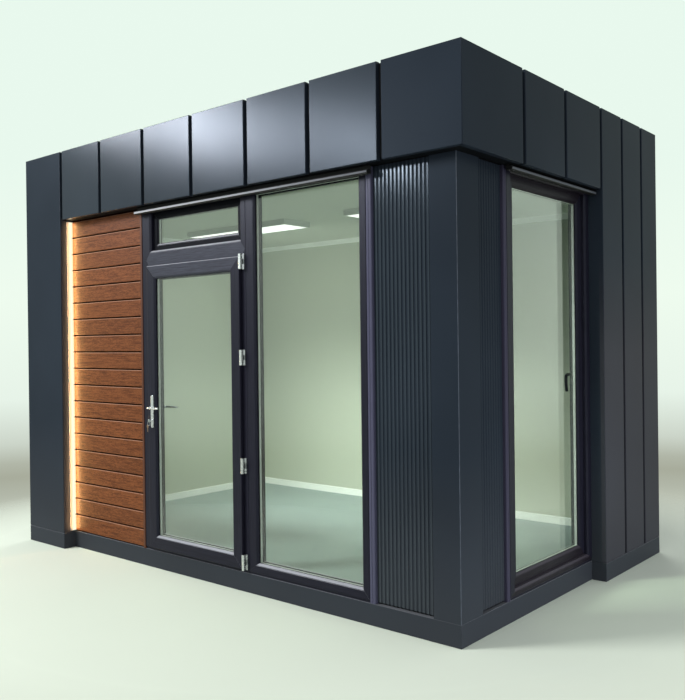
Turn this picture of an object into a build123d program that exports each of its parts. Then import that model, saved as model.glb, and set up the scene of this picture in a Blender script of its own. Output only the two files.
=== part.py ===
from build123d import *
import math
import os

# Garden office pod: a flat-roofed cabin in folded metal cassettes, with an entrance screen of door, fanlight
# and fixed window, a tilt-and-turn window round the corner, a boarded bay and ribbed corner panels.
# Millimetres. X runs along the entrance side to the right, Y runs to the back, Z is up.
# The origin is at the middle of the footprint, on the ground.

# Driving sizes of the whole
pod_length = 4200.0
pod_depth = 2700.0
pod_height = 3120.0
front_panel_count = 8
back_panel_count = 8
left_panel_count = 5
panel_gap = 32.0

# Levels
plinth_height = 125.0
band_height = 120.0
band_seam = 2.0
deck_thickness = 20.0
floor_finish = 15.0
fascia_height = 535.0
soffit_thickness = 20.0
roof_thickness = 200.0
membrane_thickness = 6.0
ceiling_thickness = 15.0

# Skins and walls, counted inwards from the outer faces
panel_depth = 30.0
sheet = 2.0
tray_lip = 15.0
front_recess = 100.0
side_recess = 100.0
wall_thickness = 100.0
lining_thickness = 15.0
parapet_thickness = 50.0
capping_sheet = 3.0
capping_drop = 60.0
capping_step = 4.0
seam = 0.5
overshoot = 1.0

# Right-hand side, from the near corner
side_panel_width = 525.0
side_panel_count = 2
rear_block_depth = 995.0
rear_panel_width = 350.0
rear_panel_count = 3

# Chassis
rail_width = 60.0
rail_web = 6.0
joist_width = 45.0
joist_spacing = 400.0

# Boarded bay and its light
bay_share = 0.514
board_end_trim_width = 21.0
board_end_trim_proud = 4.0
led_width = 33.0
led_depth = 10.0
led_from_boards = 12.0
led_end_gap = 10.0
led_lip = 6.0
led_slope = 10.0

# Entrance screen
frame_depth = 75.0
sill_height = 15.0
sill_inset = 8.0
left_jamb = 97.0
right_jamb = 55.0
head_width = 60.0
screen_foot = 60.0
door_opening_width = 932.0
threshold_height = 27.0
mullion_width = 135.0
transom_height = 127.0
fanlight_height = 276.0
edge_trim_width = 40.0

# Glazing
rebate = 12.0
rim_slope = 7.0
leaf_edge = 3.0
screen_lip = 22.0
glass_thickness = 28.0
bead_width = 20.0
bead_depth = 20.0
fan_lip = 28.0
fan_sash_face = 50.0
fan_sash_depth = 52.0
fan_glass_set = 12.0
fan_glass_thickness = 24.0

# Door leaf, which laps over the screen from outside
leaf_lap = 17.0
leaf_proud = 25.0
leaf_flange = 20.0
leaf_depth = 75.0
leaf_stile = 92.0
leaf_lip = 22.0
leaf_gap_lock = 8.0
leaf_gap_hinge = 6.0
leaf_gap_foot = 8.0
leaf_gap_head = 6.0
stop_lap = 15.0
stop_gap = 6.0

# Hinges of the door
hinges_from_foot = (45.0, 664.0)
hinges_from_head = (650.0, 34.0)
hinge_height = 100.0
hinge_radius = 10.5
hinge_pin_radius = 4.0
hinge_pin_play = 0.3
hinge_axis_from_leaf = 12.0
hinge_axis_proud = 3.0
hinge_knuckle_gap = 1.0
hinge_turned_edge = 1.5
hinge_leaf_web = 10.0
hinge_plate_width = 16.0
hinge_plate_thickness = 6.0
hinge_web = 8.0

# Handle
handle_from_edge = 53.0
lever_height = 1000.0
plate_width = 28.0
plate_height = 232.0
plate_thickness = 9.0
plate_above_lever = 88.0
cylinder_below_lever = 92.0
cylinder_radius = 8.5
cylinder_proud = 6.0
lever_reach = 125.0
lever_bend = 15.0
lever_stand_off = 42.0
neck_radius = 9.0
neck_play = 0.5
spindle_radius = 4.5
spindle_play = 1.5

# Ribbed corner
corner_leg_front = 173.0
corner_leg_side = 220.0
rib_field_front = 391.0
rib_field_side = 265.0
rib_pitch = 27.0
rib_crest = 11.0
rib_root = 19.0
rib_depth = 6.0
rib_sheet = 6.0
rib_base_gap = 10.0

# Side window
side_trim_width = 35.0
side_jamb = 60.0
side_foot = 38.0
side_head = 49.0
side_lip = 28.0
side_sash_face = 68.0
side_sash_depth = 55.0
side_glass_set = 17.0
side_handle_height = 1368.0
side_handle_length = 130.0
side_handle_width = 20.0
side_handle_stand_off = 38.0
side_handle_base = 66.0
side_handle_thickness = 13.0
side_handle_base_rim = 2.0

# Drip channels under the soffit
drip_set_back = 42.0
drip_height = 24.0
front_drip_drop = 25.0
side_drip_drop = 8.0
drip_flange = 38.0
drip_sheet = 3.0
drip_overhang_left = 18.0
drip_overhang_right = 19.0

# Room
skirting_height = 60.0
skirting_thickness = 12.0
skirting_bevel = 4.0
cornice_height = 45.0
cornice_depth = 18.0
light_length = 1200.0
light_width = 300.0
light_height = 45.0
light_rows = (-905.0, 910.0)
light_from_front = 1355.0

# Levels and planes worked out from the sizes above
fascia_bottom = pod_height - fascia_height
left_x = -pod_length / 2
right_x = pod_length / 2
front_y = -pod_depth / 2
back_y = pod_depth / 2
module = pod_length / front_panel_count
deck_bottom = plinth_height - deck_thickness
frame_foot = plinth_height + sill_height
floor_top = plinth_height + floor_finish
roof_bottom = fascia_bottom + soffit_thickness
roof_top = roof_bottom + roof_thickness
ceiling_bottom = roof_bottom - ceiling_thickness
parapet_top = pod_height - capping_step - capping_sheet
front_wall_y = front_y + front_recess + panel_depth
front_room_y = front_wall_y + wall_thickness + lining_thickness
right_wall_x = right_x - side_recess - panel_depth
right_room_x = right_wall_x - wall_thickness - lining_thickness
left_wall_x = left_x + panel_depth
left_room_x = left_wall_x + wall_thickness + lining_thickness
back_wall_y = back_y - panel_depth
back_room_y = back_wall_y - wall_thickness - lining_thickness
column_right_x = left_x + module - panel_gap / 2
rear_block_start = pod_depth - rear_block_depth
rear_return = rear_block_start + panel_gap / 2
rear_return_y = front_y + rear_return

# The boarded bay and the fixed window share what the other pieces of the entrance side leave
fixed_widths = column_right_x - left_x + board_end_trim_width + left_jamb + door_opening_width + mullion_width
fixed_widths += right_jamb + edge_trim_width + rib_field_front + corner_leg_front + side_recess
shared_width = pod_length - fixed_widths
timber_width = bay_share * shared_width
window_opening_width = shared_width - timber_width

# Entrance screen in plan and elevation
screen_x0 = column_right_x + timber_width + board_end_trim_width
door_x0 = screen_x0 + left_jamb
door_x1 = door_x0 + door_opening_width
window_x0 = door_x1 + mullion_width
window_x1 = window_x0 + window_opening_width
screen_x1 = window_x1 + right_jamb
screen_face_y = front_y + front_recess
screen_back_y = screen_face_y + frame_depth
door_z0 = frame_foot + threshold_height
head_z = roof_bottom - head_width
fan_z0 = head_z - fanlight_height
door_z1 = fan_z0 - transom_height
window_z0 = frame_foot + screen_foot

# Side window, counted along the side from the near corner
side_u1 = rear_return
side_u0 = side_recess + corner_leg_side + rib_field_side + side_trim_width
corner_x = right_x - side_recess

# Door leaf
leaf_x0 = door_x0 - leaf_lap
leaf_x1 = door_x1 + leaf_lap
leaf_z0 = door_z0 - leaf_lap
leaf_z1 = door_z1 + leaf_lap
leaf_face_y = screen_face_y - leaf_proud
leaf_back_y = leaf_face_y + leaf_depth
hinge_x = leaf_x1 + hinge_axis_from_leaf
hinge_y = leaf_face_y - hinge_axis_proud
handle_x = leaf_x0 + handle_from_edge
lever_z = leaf_z0 + lever_height

parts = {}


def keep(name, *solids):
    """Files one named piece, or several like solids that stay apart."""
    parts[name] = solids[0] if len(solids) == 1 else Compound(children=list(solids))


def block(x0, x1, y0, y1, z0, z1):
    """A slab or post between two opposite corners."""
    return Pos((x0 + x1) / 2, (y0 + y1) / 2, (z0 + z1) / 2) * Box(x1 - x0, y1 - y0, z1 - z0)


def prism(points, z0, z1):
    """An outline in plan, carried up from one level to another."""
    return Pos(0, 0, z0) * extrude(make_face(Polyline(*points, close=True)), z1 - z0, dir=(0, 0, 1))


def run(section, u0, u1):
    """A section of (depth, height) points, carried along a face from u0 to u1."""
    face = make_face(Plane.YZ * Polyline(*section, close=True))
    return Pos(u0, 0, 0) * extrude(face, u1 - u0, dir=(1, 0, 0))


def on_face(face, shape):
    """Turns a shape from face axes (along, inwards, up) to its side of the pod."""
    x, y, turn = {
        "front": (left_x, front_y, 0),
        "right": (right_x, front_y, 90),
        "back": (right_x, back_y, 180),
        "left": (left_x, back_y, 270),
    }[face]
    return Pos(x, y, 0) * Rot(0, 0, turn) * shape


def cassette(u0, u1, z0, z1, start_mitre=False, end_mitre=False, set_back=0.0):
    """A folded tray: a face sheet, returns and lips round its open back. An end at a corner is mitred."""
    a = seam / 2 if start_mitre else 0.0
    b = seam / 2 if end_mitre else 0.0
    outline = [
        (u0 + a, 0),
        (u1 - b, 0),
        (u1 - b - (panel_depth if end_mitre else 0), panel_depth),
        (u0 + a + (panel_depth if start_mitre else 0), panel_depth),
    ]
    tray = prism(outline, z0, z1)
    hollow = offset(make_face(Polyline(*outline, close=True)), -sheet, kind=Kind.INTERSECTION)
    tray -= Pos(0, 0, z0 + sheet) * extrude(hollow, z1 - z0 - 2 * sheet, dir=(0, 0, 1))
    back_u0 = outline[3][0] + tray_lip
    back_u1 = outline[2][0] - tray_lip
    tray -= block(back_u0, back_u1, panel_depth - sheet - overshoot, panel_depth + overshoot,
                  z0 + tray_lip, z1 - tray_lip)
    return Pos(0, set_back, 0) * tray


def mitred(section, length, depth):
    """A section carried round a corner: both ends are cut at 45 degrees, with a hair of seam."""
    tall = [point[1] for point in section]
    plan = [(seam / 2, 0), (length - seam / 2, 0), (length - depth - seam / 2, depth), (depth + seam / 2,
                                                                                        depth)]
    return run(section, 0, length) & prism(plan, min(tall) - overshoot, max(tall) + overshoot)


def sloped_rim(x0, x1, z0, z1, y, size):
    """A cutter that slopes the front edges of an opening: a frustum that narrows to the opening itself."""
    rim = extrude(Rectangle(x1 - x0 + 2 * size, z1 - z0 + 2 * size), size, taper=45)
    return Pos((x0 + x1) / 2, y, (z0 + z1) / 2) * Rot(-90, 0, 0) * rim


def beads(x0, x1, z0, z1, y0, y1, width):
    """Four glazing beads inside a rebate: the uprights stand between the level ones."""
    return [
        block(x0, x1, y0, y1, z0, z0 + width),
        block(x0, x1, y0, y1, z1 - width, z1),
        block(x0, x0 + width, y0, y1, z0 + width + seam, z1 - width - seam),
        block(x1 - width, x1, y0, y1, z0 + width + seam, z1 - width - seam),
    ]


def channel(length, height, flange, web):
    """A rolled channel lying along X, its back on the X axis and its flanges towards +Y."""
    section = [
        (0, 0), (flange, 0), (flange, web), (web, web),
        (web, height - web), (flange, height - web), (flange, height), (0, height),
    ]
    return run(section, 0, length)


# Chassis: a frame of rolled channels with joists between, and the deck that lies on it
deck_x0 = left_wall_x
deck_x1 = right_wall_x
long_rail = channel(deck_x1 - deck_x0, deck_bottom, rail_width, rail_web)
side_rail_length = back_wall_y - front_wall_y - 2 * rail_width - 2 * seam
side_rail = channel(side_rail_length, deck_bottom, rail_width, rail_web)
side_rail_y0 = front_wall_y + rail_width + seam
keep(
    "base_rails",
    Pos(deck_x0, front_wall_y, 0) * long_rail,
    Pos(deck_x1, back_wall_y, 0) * Rot(0, 0, 180) * long_rail,
    Pos(deck_x1, side_rail_y0, 0) * Rot(0, 0, 90) * side_rail,
    Pos(deck_x0, side_rail_y0 + side_rail_length, 0) * Rot(0, 0, 270) * side_rail,
)

joist_field = deck_x1 - deck_x0 - 2 * rail_width
joist_count = math.ceil(joist_field / joist_spacing) - 1
joist = channel(side_rail_length, deck_bottom, joist_width, rail_web)
joist_pitch = joist_field / (joist_count + 1)
joists = []
for index in range(joist_count):
    joist_x = deck_x0 + rail_width + joist_pitch * (index + 1) + joist_width / 2
    joists.append(Pos(joist_x, side_rail_y0, 0) * Rot(0, 0, 90) * joist)
keep("base_joists", *joists)

keep("floor_deck", block(deck_x0, deck_x1, front_wall_y, back_wall_y, deck_bottom, plinth_height))

# Recessed plinth under the entrance side and the side window, mitred at the near corner
plinth_front_end = pod_length - side_recess
column_u = module - panel_gap / 2
keep(
    "recessed_plinth",
    on_face("front", cassette(column_u, plinth_front_end, 0, plinth_height, end_mitre=True,
                              set_back=front_recess)),
    on_face("right", cassette(front_recess, rear_return, 0, plinth_height, start_mitre=True,
                              set_back=side_recess)),
)


def return_sheet(u0, u1, z0, z1, depth):
    """The sheet that closes the side of a forward block, from its tray back to the wall."""
    return block(u0, u1, panel_depth, depth, z0, z1)



# Cladding that comes forward past a recess folds back along its edge
front_return_depth = front_recess + panel_depth
side_return_depth = side_recess + panel_depth

# Flush band along the foot of the full-height cladding
band_column = cassette(0, column_u, 0, band_height, start_mitre=True)
band_column += return_sheet(column_u - sheet, column_u, 0, band_height, front_return_depth)
band_rear = cassette(rear_return, pod_depth, 0, band_height, end_mitre=True)
band_rear += return_sheet(rear_return, rear_return + sheet, 0, band_height, side_return_depth)
keep(
    "base_band",
    on_face("front", band_column),
    on_face("right", band_rear),
    on_face("back", cassette(0, pod_length, 0, band_height, start_mitre=True, end_mitre=True)),
    on_face("left", cassette(0, pod_depth, 0, band_height, start_mitre=True, end_mitre=True)),
)

# Walls: insulated panels on the deck, and the two forward blocks that stand on the ground
keep(
    "back_wall",
    block(left_wall_x, right_wall_x, back_wall_y - wall_thickness, back_wall_y, plinth_height, roof_bottom),
)
keep(
    "left_wall",
    block(left_wall_x, left_wall_x + wall_thickness, front_wall_y, back_wall_y - wall_thickness,
          plinth_height, roof_bottom),
)
keep(
    "boarded_wall",
    block(left_wall_x + wall_thickness, screen_x0, front_wall_y, front_wall_y + wall_thickness,
          plinth_height, roof_bottom),
)
keep(
    "corner_pier_front",
    block(screen_x1, right_wall_x, front_wall_y, front_wall_y + wall_thickness, plinth_height, roof_bottom),
)
keep(
    "corner_pier_side",
    block(right_wall_x - wall_thickness, right_wall_x, front_wall_y + wall_thickness, front_y + side_u0,
          plinth_height, roof_bottom),
)
keep(
    "right_rear_wall",
    block(right_wall_x - wall_thickness, right_wall_x, front_y + side_u1, back_wall_y - wall_thickness,
          plinth_height, roof_bottom),
)
keep(
    "left_column_core",
    block(left_wall_x, column_right_x - sheet, front_y + panel_depth, front_wall_y, 0, roof_bottom),
)
keep(
    "right_rear_core",
    block(right_wall_x, right_x - panel_depth, rear_return_y + sheet, back_wall_y, 0, roof_bottom),
)

# Roof: deck, membrane, parapet and its capping
roof_x0 = left_wall_x
roof_x1 = right_x - panel_depth
roof_y0 = front_y + panel_depth
roof_y1 = back_wall_y
keep("roof_deck", block(roof_x0, roof_x1, roof_y0, roof_y1, roof_bottom, roof_top))
keep(
    "roof_membrane",
    block(roof_x0 + parapet_thickness, roof_x1 - parapet_thickness, roof_y0 + parapet_thickness,
          roof_y1 - parapet_thickness, roof_top, roof_top + membrane_thickness),
)
parapet_side = roof_y1 - roof_y0 - 2 * parapet_thickness - 2 * seam
keep(
    "parapet",
    block(roof_x0, roof_x1, roof_y0, roof_y0 + parapet_thickness, roof_top, parapet_top),
    block(roof_x0, roof_x1, roof_y1 - parapet_thickness, roof_y1, roof_top, parapet_top),
    block(roof_x0, roof_x0 + parapet_thickness, -parapet_side / 2, parapet_side / 2, roof_top, parapet_top),
    block(roof_x1 - parapet_thickness, roof_x1, -parapet_side / 2, parapet_side / 2, roof_top, parapet_top),
)
capping_inner = panel_depth + parapet_thickness
capping_section = [
    (panel_depth, parapet_top),
    (capping_inner, parapet_top),
    (capping_inner, parapet_top - capping_drop),
    (capping_inner + capping_sheet, parapet_top - capping_drop),
    (capping_inner + capping_sheet, parapet_top + capping_sheet),
    (panel_depth, parapet_top + capping_sheet),
]
capping_depth = capping_inner + capping_sheet
capping_long = mitred(capping_section, pod_length, capping_depth)
capping_short = mitred(capping_section, pod_depth, capping_depth)
keep(
    "parapet_capping",
    on_face("front", capping_long),
    on_face("right", capping_short),
    on_face("back", capping_long),
    on_face("left", capping_short),
)

# Soffit under the overhang, mitred at the near corner
corner_in = (corner_x, screen_face_y)
corner_out = (right_x - panel_depth, front_y + panel_depth)
keep(
    "soffit",
    prism(
        [
            (column_right_x, front_y + panel_depth),
            (corner_out[0] - seam, corner_out[1]),
            (corner_in[0] - seam, corner_in[1]),
            (column_right_x, corner_in[1]),
        ],
        fascia_bottom, roof_bottom,
    ),
    prism(
        [
            (corner_out[0], corner_out[1] + seam),
            (corner_out[0], rear_return_y),
            (corner_in[0], rear_return_y),
            (corner_in[0], corner_in[1] + seam),
        ],
        fascia_bottom, roof_bottom,
    ),
)

# Cassettes: the left column, the fascia over the recess and the full-height cladding of the other sides
cladding_foot = band_height + band_seam
half_gap = panel_gap / 2
column = cassette(0, column_u, cladding_foot, pod_height, start_mitre=True)
column += return_sheet(column_u - sheet, column_u, cladding_foot, fascia_bottom, front_return_depth)
keep("left_column_panel", on_face("front", column))

fascia = []
for index in range(1, front_panel_count):
    at_corner = index == front_panel_count - 1
    start = module * index + half_gap
    end = pod_length if at_corner else module * (index + 1) - half_gap
    fascia.append(on_face("front", cassette(start, end, fascia_bottom, pod_height, False, at_corner)))
keep("front_fascia_panels", *fascia)

side_joint = rear_block_start - side_panel_count * side_panel_width
side_fascia = [on_face("right", cassette(0, side_joint - half_gap, fascia_bottom, pod_height, True, False))]
for index in range(side_panel_count):
    start = side_joint + side_panel_width * index
    side_fascia.append(
        on_face("right", cassette(start + half_gap, start + side_panel_width - half_gap, fascia_bottom,
                                  pod_height))
    )
keep("right_fascia_panels", *side_fascia)

rear_panels = []
for index in range(rear_panel_count):
    start = rear_block_start + rear_panel_width * index
    last = index == rear_panel_count - 1
    end = pod_depth if last else start + rear_panel_width - half_gap
    tray = cassette(start + half_gap, end, cladding_foot, pod_height, False, last)
    if index == 0:
        tray += return_sheet(rear_return, rear_return + sheet, cladding_foot, fascia_bottom, side_return_depth)
    rear_panels.append(on_face("right", tray))
keep("right_rear_panels", *rear_panels)


def full_height_row(face, length, count):
    """Equal cassettes across a whole side, mitred at both corners."""
    width = length / count
    row = []
    for index in range(count):
        first = index == 0
        last = index == count - 1
        start = 0 if first else width * index + half_gap
        end = length if last else width * (index + 1) - half_gap
        row.append(on_face(face, cassette(start, end, cladding_foot, pod_height, first, last)))
    return row


keep("left_side_panels", *full_height_row("left", pod_depth, left_panel_count))
keep("back_panels", *full_height_row("back", pod_length, back_panel_count))

# Boarded bay: the panel that carries the boards, its end trim and the light in the corner
timber_x1 = column_right_x + timber_width
keep("timber_panel", block(column_right_x, timber_x1, screen_face_y, front_wall_y, plinth_height, roof_bottom))
keep(
    "board_end_trim",
    block(timber_x1, screen_x0, screen_face_y - board_end_trim_proud, front_wall_y, plinth_height,
          fascia_bottom),
)
led_d1 = front_recess - led_from_boards
led_d0 = led_d1 - led_width
led_outline = [
    (column_right_x, front_y + led_d0),
    (column_right_x + led_lip, front_y + led_d0),
    (column_right_x + led_depth, front_y + led_d0 + led_slope),
    (column_right_x + led_depth, front_y + led_d1 - led_slope),
    (column_right_x + led_lip, front_y + led_d1),
    (column_right_x, front_y + led_d1),
]
keep("led_profile", prism(led_outline, plinth_height + led_end_gap, fascia_bottom - led_end_gap))

# Corner: an L-shaped cover between two ribbed panels
cover_x0 = corner_x - corner_leg_front
cover_y1 = screen_face_y + corner_leg_side
corner_outline = [
    (cover_x0, screen_face_y),
    (corner_x, screen_face_y),
    (corner_x, cover_y1),
    (corner_x - panel_depth, cover_y1),
    (corner_x - panel_depth, cover_y1 - sheet),
    (corner_x - sheet, cover_y1 - sheet),
    (corner_x - sheet, screen_face_y + sheet),
    (cover_x0 + sheet, screen_face_y + sheet),
    (cover_x0 + sheet, screen_face_y + panel_depth),
    (cover_x0, screen_face_y + panel_depth),
]
keep("corner_trim", prism(corner_outline, plinth_height, fascia_bottom))


def ribbed_panel(width, z0, z1):
    """A ribbed sheet from u 0 to its width: flat-topped ribs stand towards the outside (depth 0)."""
    count = int((width - rib_root) // rib_pitch) + 1
    margin = (width - (count - 1) * rib_pitch) / 2
    outline = [(0, rib_depth + rib_sheet), (0, rib_depth)]
    for index in range(count):
        middle = margin + rib_pitch * index
        outline.append((middle - rib_root / 2, rib_depth))
        outline.append((middle - rib_crest / 2, 0))
        outline.append((middle + rib_crest / 2, 0))
        outline.append((middle + rib_root / 2, rib_depth))
    outline += [(width, rib_depth), (width, rib_depth + rib_sheet)]
    return prism(outline, z0, z1)


rib_set = panel_depth - rib_depth - rib_sheet
rib_foot = plinth_height + rib_base_gap
edge_trim_x1 = screen_x1 + edge_trim_width
side_trim_u0 = side_u0 - side_trim_width
cover_u1 = front_recess + corner_leg_side
keep(
    "ribbed_panel_front",
    on_face("front", Pos(edge_trim_x1 - left_x, front_recess + rib_set, 0)
            * ribbed_panel(cover_x0 - edge_trim_x1, rib_foot, fascia_bottom)),
)
keep(
    "ribbed_panel_side",
    on_face("right", Pos(cover_u1, side_recess + rib_set, 0)
            * ribbed_panel(side_trim_u0 - cover_u1, rib_foot, fascia_bottom)),
)
keep(
    "window_edge_trims",
    block(screen_x1, edge_trim_x1, screen_face_y, front_wall_y, plinth_height, fascia_bottom),
    on_face("right", block(side_trim_u0, side_u0, side_recess, side_return_depth, plinth_height,
                           fascia_bottom)),
)

# Sills under the two frames
keep(
    "frame_sills",
    block(screen_x0, screen_x1, screen_face_y + sill_inset, screen_back_y, plinth_height, frame_foot),
    on_face("right", block(side_u0, side_u1, side_recess + sill_inset, side_recess + frame_depth,
                           plinth_height, frame_foot)),
)

# Entrance screen: one welded frame with a door opening, a fanlight and a fixed window
stop_y = leaf_back_y + stop_gap
screen = block(screen_x0, screen_x1, screen_face_y, screen_back_y, frame_foot, roof_bottom)
screen -= block(door_x0, door_x1, screen_face_y - overshoot, stop_y, door_z0, door_z1)
screen -= block(door_x0 + stop_lap, door_x1 - stop_lap, stop_y - overshoot, screen_back_y + overshoot,
                door_z0, door_z1 - stop_lap)
screen -= block(door_x0, door_x1, screen_face_y - overshoot, screen_face_y + fan_lip + overshoot, fan_z0,
                head_z)
screen -= block(door_x0 - rebate, door_x1 + rebate, screen_face_y + fan_lip, screen_back_y + overshoot,
                fan_z0 - rebate, head_z + rebate)
screen -= block(window_x0, window_x1, screen_face_y - overshoot, screen_face_y + screen_lip + overshoot,
                window_z0, head_z)
screen -= block(window_x0 - rebate, window_x1 + rebate, screen_face_y + screen_lip, screen_back_y + overshoot,
                window_z0 - rebate, head_z + rebate)
screen -= sloped_rim(door_x0, door_x1, fan_z0, head_z, screen_face_y, rim_slope)
screen -= sloped_rim(window_x0, window_x1, window_z0, head_z, screen_face_y, rim_slope)
keep("entrance_frame", screen)

glass_y0 = screen_face_y + screen_lip
glass_y1 = glass_y0 + glass_thickness
keep(
    "front_window_glass",
    block(window_x0 - rebate, window_x1 + rebate, glass_y0, glass_y1, window_z0 - rebate, head_z + rebate),
)
keep(
    "window_glazing_beads",
    *beads(window_x0 - rebate, window_x1 + rebate, window_z0 - rebate, head_z + rebate,
           glass_y1, glass_y1 + bead_depth, bead_width),
)


def sash(x0, x1, z0, z1, depth, face, glass_set):
    """A sash in face axes: a ring with a rebate for its glass, open towards the room."""
    ring = block(x0, x1, 0, depth, z0, z1)
    ring -= block(x0 + face, x1 - face, -overshoot, glass_set + overshoot, z0 + face, z1 - face)
    ring -= sloped_rim(x0 + face, x1 - face, z0 + face, z1 - face, 0, rim_slope)
    pocket = face - rebate
    ring -= block(x0 + pocket, x1 - pocket, glass_set, depth + overshoot, z0 + pocket, z1 - pocket)
    return ring


# Fanlight: a sash that sits behind the screen's lip
fan_x0 = door_x0 - rebate
fan_x1 = door_x1 + rebate
fan_s0 = fan_z0 - rebate
fan_s1 = head_z + rebate
fan_y = screen_face_y + fan_lip
fan_face = fan_sash_face + rebate
keep("fanlight_sash", Pos(0, fan_y, 0) * sash(fan_x0, fan_x1, fan_s0, fan_s1, fan_sash_depth, fan_face,
                                              fan_glass_set))
fan_pocket = fan_face - rebate
fan_glass_y1 = fan_y + fan_glass_set + fan_glass_thickness
keep(
    "fanlight_glass",
    block(fan_x0 + fan_pocket, fan_x1 - fan_pocket, fan_y + fan_glass_set, fan_glass_y1,
          fan_s0 + fan_pocket, fan_s1 - fan_pocket),
)

# Side window: frame, sash, glass and its inner handle
side_a = side_u0 + side_jamb
side_b = side_u1 - side_jamb
side_c = frame_foot + side_foot
side_d = roof_bottom - side_head
side_frame = block(side_u0, side_u1, 0, frame_depth, frame_foot, roof_bottom)
side_frame -= block(side_a, side_b, -overshoot, side_lip + overshoot, side_c, side_d)
side_frame -= block(side_a - rebate, side_b + rebate, side_lip, frame_depth + overshoot, side_c - rebate,
                    side_d + rebate)
side_frame -= sloped_rim(side_a, side_b, side_c, side_d, 0, rim_slope)
keep("side_window_frame", on_face("right", Pos(0, side_recess, 0) * side_frame))
side_face = side_sash_face + rebate
side_sash = sash(side_a - rebate, side_b + rebate, side_c - rebate, side_d + rebate,
                 side_sash_depth, side_face, side_glass_set)
sash_depth_at = side_recess + side_lip
keep("side_window_sash", on_face("right", Pos(0, sash_depth_at, 0) * side_sash))
side_pocket = side_face - rebate
keep(
    "side_window_glass",
    on_face(
        "right",
        block(side_a - rebate + side_pocket, side_b + rebate - side_pocket, sash_depth_at + side_glass_set,
              sash_depth_at + side_glass_set + glass_thickness, side_c - rebate + side_pocket,
              side_d + rebate - side_pocket),
    ),
)
handle_u = side_b - side_sash_face / 2
sash_back = sash_depth_at + side_sash_depth


def round_ended(u, z0, z1, y0, y1, width):
    """An upright bar with round ends, from one depth to another."""
    outline = Pos(u, y0, (z0 + z1) / 2) * Rot(90, 0, 0) * SlotOverall(z1 - z0, width, rotation=90)
    return extrude(outline, y1 - y0, dir=(0, 1, 0))


grip_top = side_handle_height + side_handle_width / 2
grip_y1 = sash_back + side_handle_stand_off
handle_base_z0 = side_handle_height - side_handle_base / 2
handle_base = round_ended(handle_u, handle_base_z0, handle_base_z0 + side_handle_base, sash_back, 
                          sash_back + side_handle_thickness, side_handle_width + 2 * side_handle_base_rim)
handle_neck = Pos(handle_u, sash_back, side_handle_height) * Rot(-90, 0, 0) * Cylinder(
    side_handle_width / 2 - side_handle_base_rim, side_handle_stand_off - overshoot,
    align=(Align.CENTER, Align.CENTER, Align.MIN))
handle_grip = round_ended(handle_u, grip_top - side_handle_length, grip_top,
                          grip_y1 - side_handle_thickness, grip_y1,
                          side_handle_width)
keep("side_window_handle", on_face("right", handle_base + handle_neck + handle_grip))


# Door leaf: a welded ring that laps over the screen, with its glass and beads
flange_y1 = leaf_face_y + leaf_flange
body_x0 = door_x0 + leaf_gap_lock
body_x1 = door_x1 - leaf_gap_hinge
body_z0 = door_z0 + leaf_gap_foot
body_z1 = door_z1 - leaf_gap_head
leaf = block(leaf_x0, leaf_x1, leaf_face_y, flange_y1, leaf_z0, leaf_z1)
leaf = chamfer(leaf.faces().sort_by(Axis.Y)[0].edges(), leaf_edge)
leaf += block(body_x0, body_x1, leaf_face_y, leaf_back_y, body_z0, body_z1)
leaf -= block(leaf_x0 + leaf_stile, leaf_x1 - leaf_stile, leaf_face_y - overshoot,
              leaf_face_y + leaf_lip + overshoot,
              leaf_z0 + leaf_stile, leaf_z1 - leaf_stile)
leaf -= sloped_rim(leaf_x0 + leaf_stile, leaf_x1 - leaf_stile, leaf_z0 + leaf_stile, leaf_z1 - leaf_stile,
                   leaf_face_y, rim_slope)
leaf_pocket = leaf_stile - rebate
pocket_x0 = leaf_x0 + leaf_pocket
pocket_x1 = leaf_x1 - leaf_pocket
pocket_z0 = leaf_z0 + leaf_pocket
pocket_z1 = leaf_z1 - leaf_pocket
leaf -= block(pocket_x0, pocket_x1, leaf_face_y + leaf_lip, leaf_back_y + overshoot, pocket_z0, pocket_z1)


def along_y(x, z, y0, y1, radius):
    """A round bar across the wall, from one depth to another."""
    return Pos(x, y0, z) * Rot(-90, 0, 0) * Cylinder(radius, y1 - y0, align=(Align.CENTER, Align.CENTER,
                                                                             Align.MIN))


cylinder_z = lever_z - cylinder_below_lever
leaf -= along_y(handle_x, lever_z, leaf_face_y - overshoot, leaf_back_y + overshoot,
                spindle_radius + spindle_play)
leaf -= along_y(handle_x, cylinder_z, leaf_face_y - overshoot, leaf_back_y + overshoot, cylinder_radius)
keep("door_leaf_frame", leaf)
leaf_glass_y0 = leaf_face_y + leaf_lip
leaf_glass_y1 = leaf_glass_y0 + glass_thickness
keep(
    "door_glass",
    block(pocket_x0, pocket_x1, leaf_glass_y0, leaf_glass_y1, pocket_z0, pocket_z1),
)
keep(
    "door_glazing_beads",
    *beads(pocket_x0, pocket_x1, pocket_z0, pocket_z1, leaf_glass_y1, leaf_glass_y1 + bead_depth, bead_width),
)

# Handle: a plate each side joined by the lock cylinder, and the levers on one spindle
plate_z1 = lever_z + plate_above_lever
plate_z0 = plate_z1 - plate_height


def plate(y0):
    """A back plate with round ends, and the hole its lever turns in."""
    outline = Pos(handle_x, y0, (plate_z0 + plate_z1) / 2) * Rot(90, 0, 0) * SlotOverall(
        plate_height, plate_width, rotation=90)
    return extrude(outline, plate_thickness, dir=(0, 1, 0))


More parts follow.
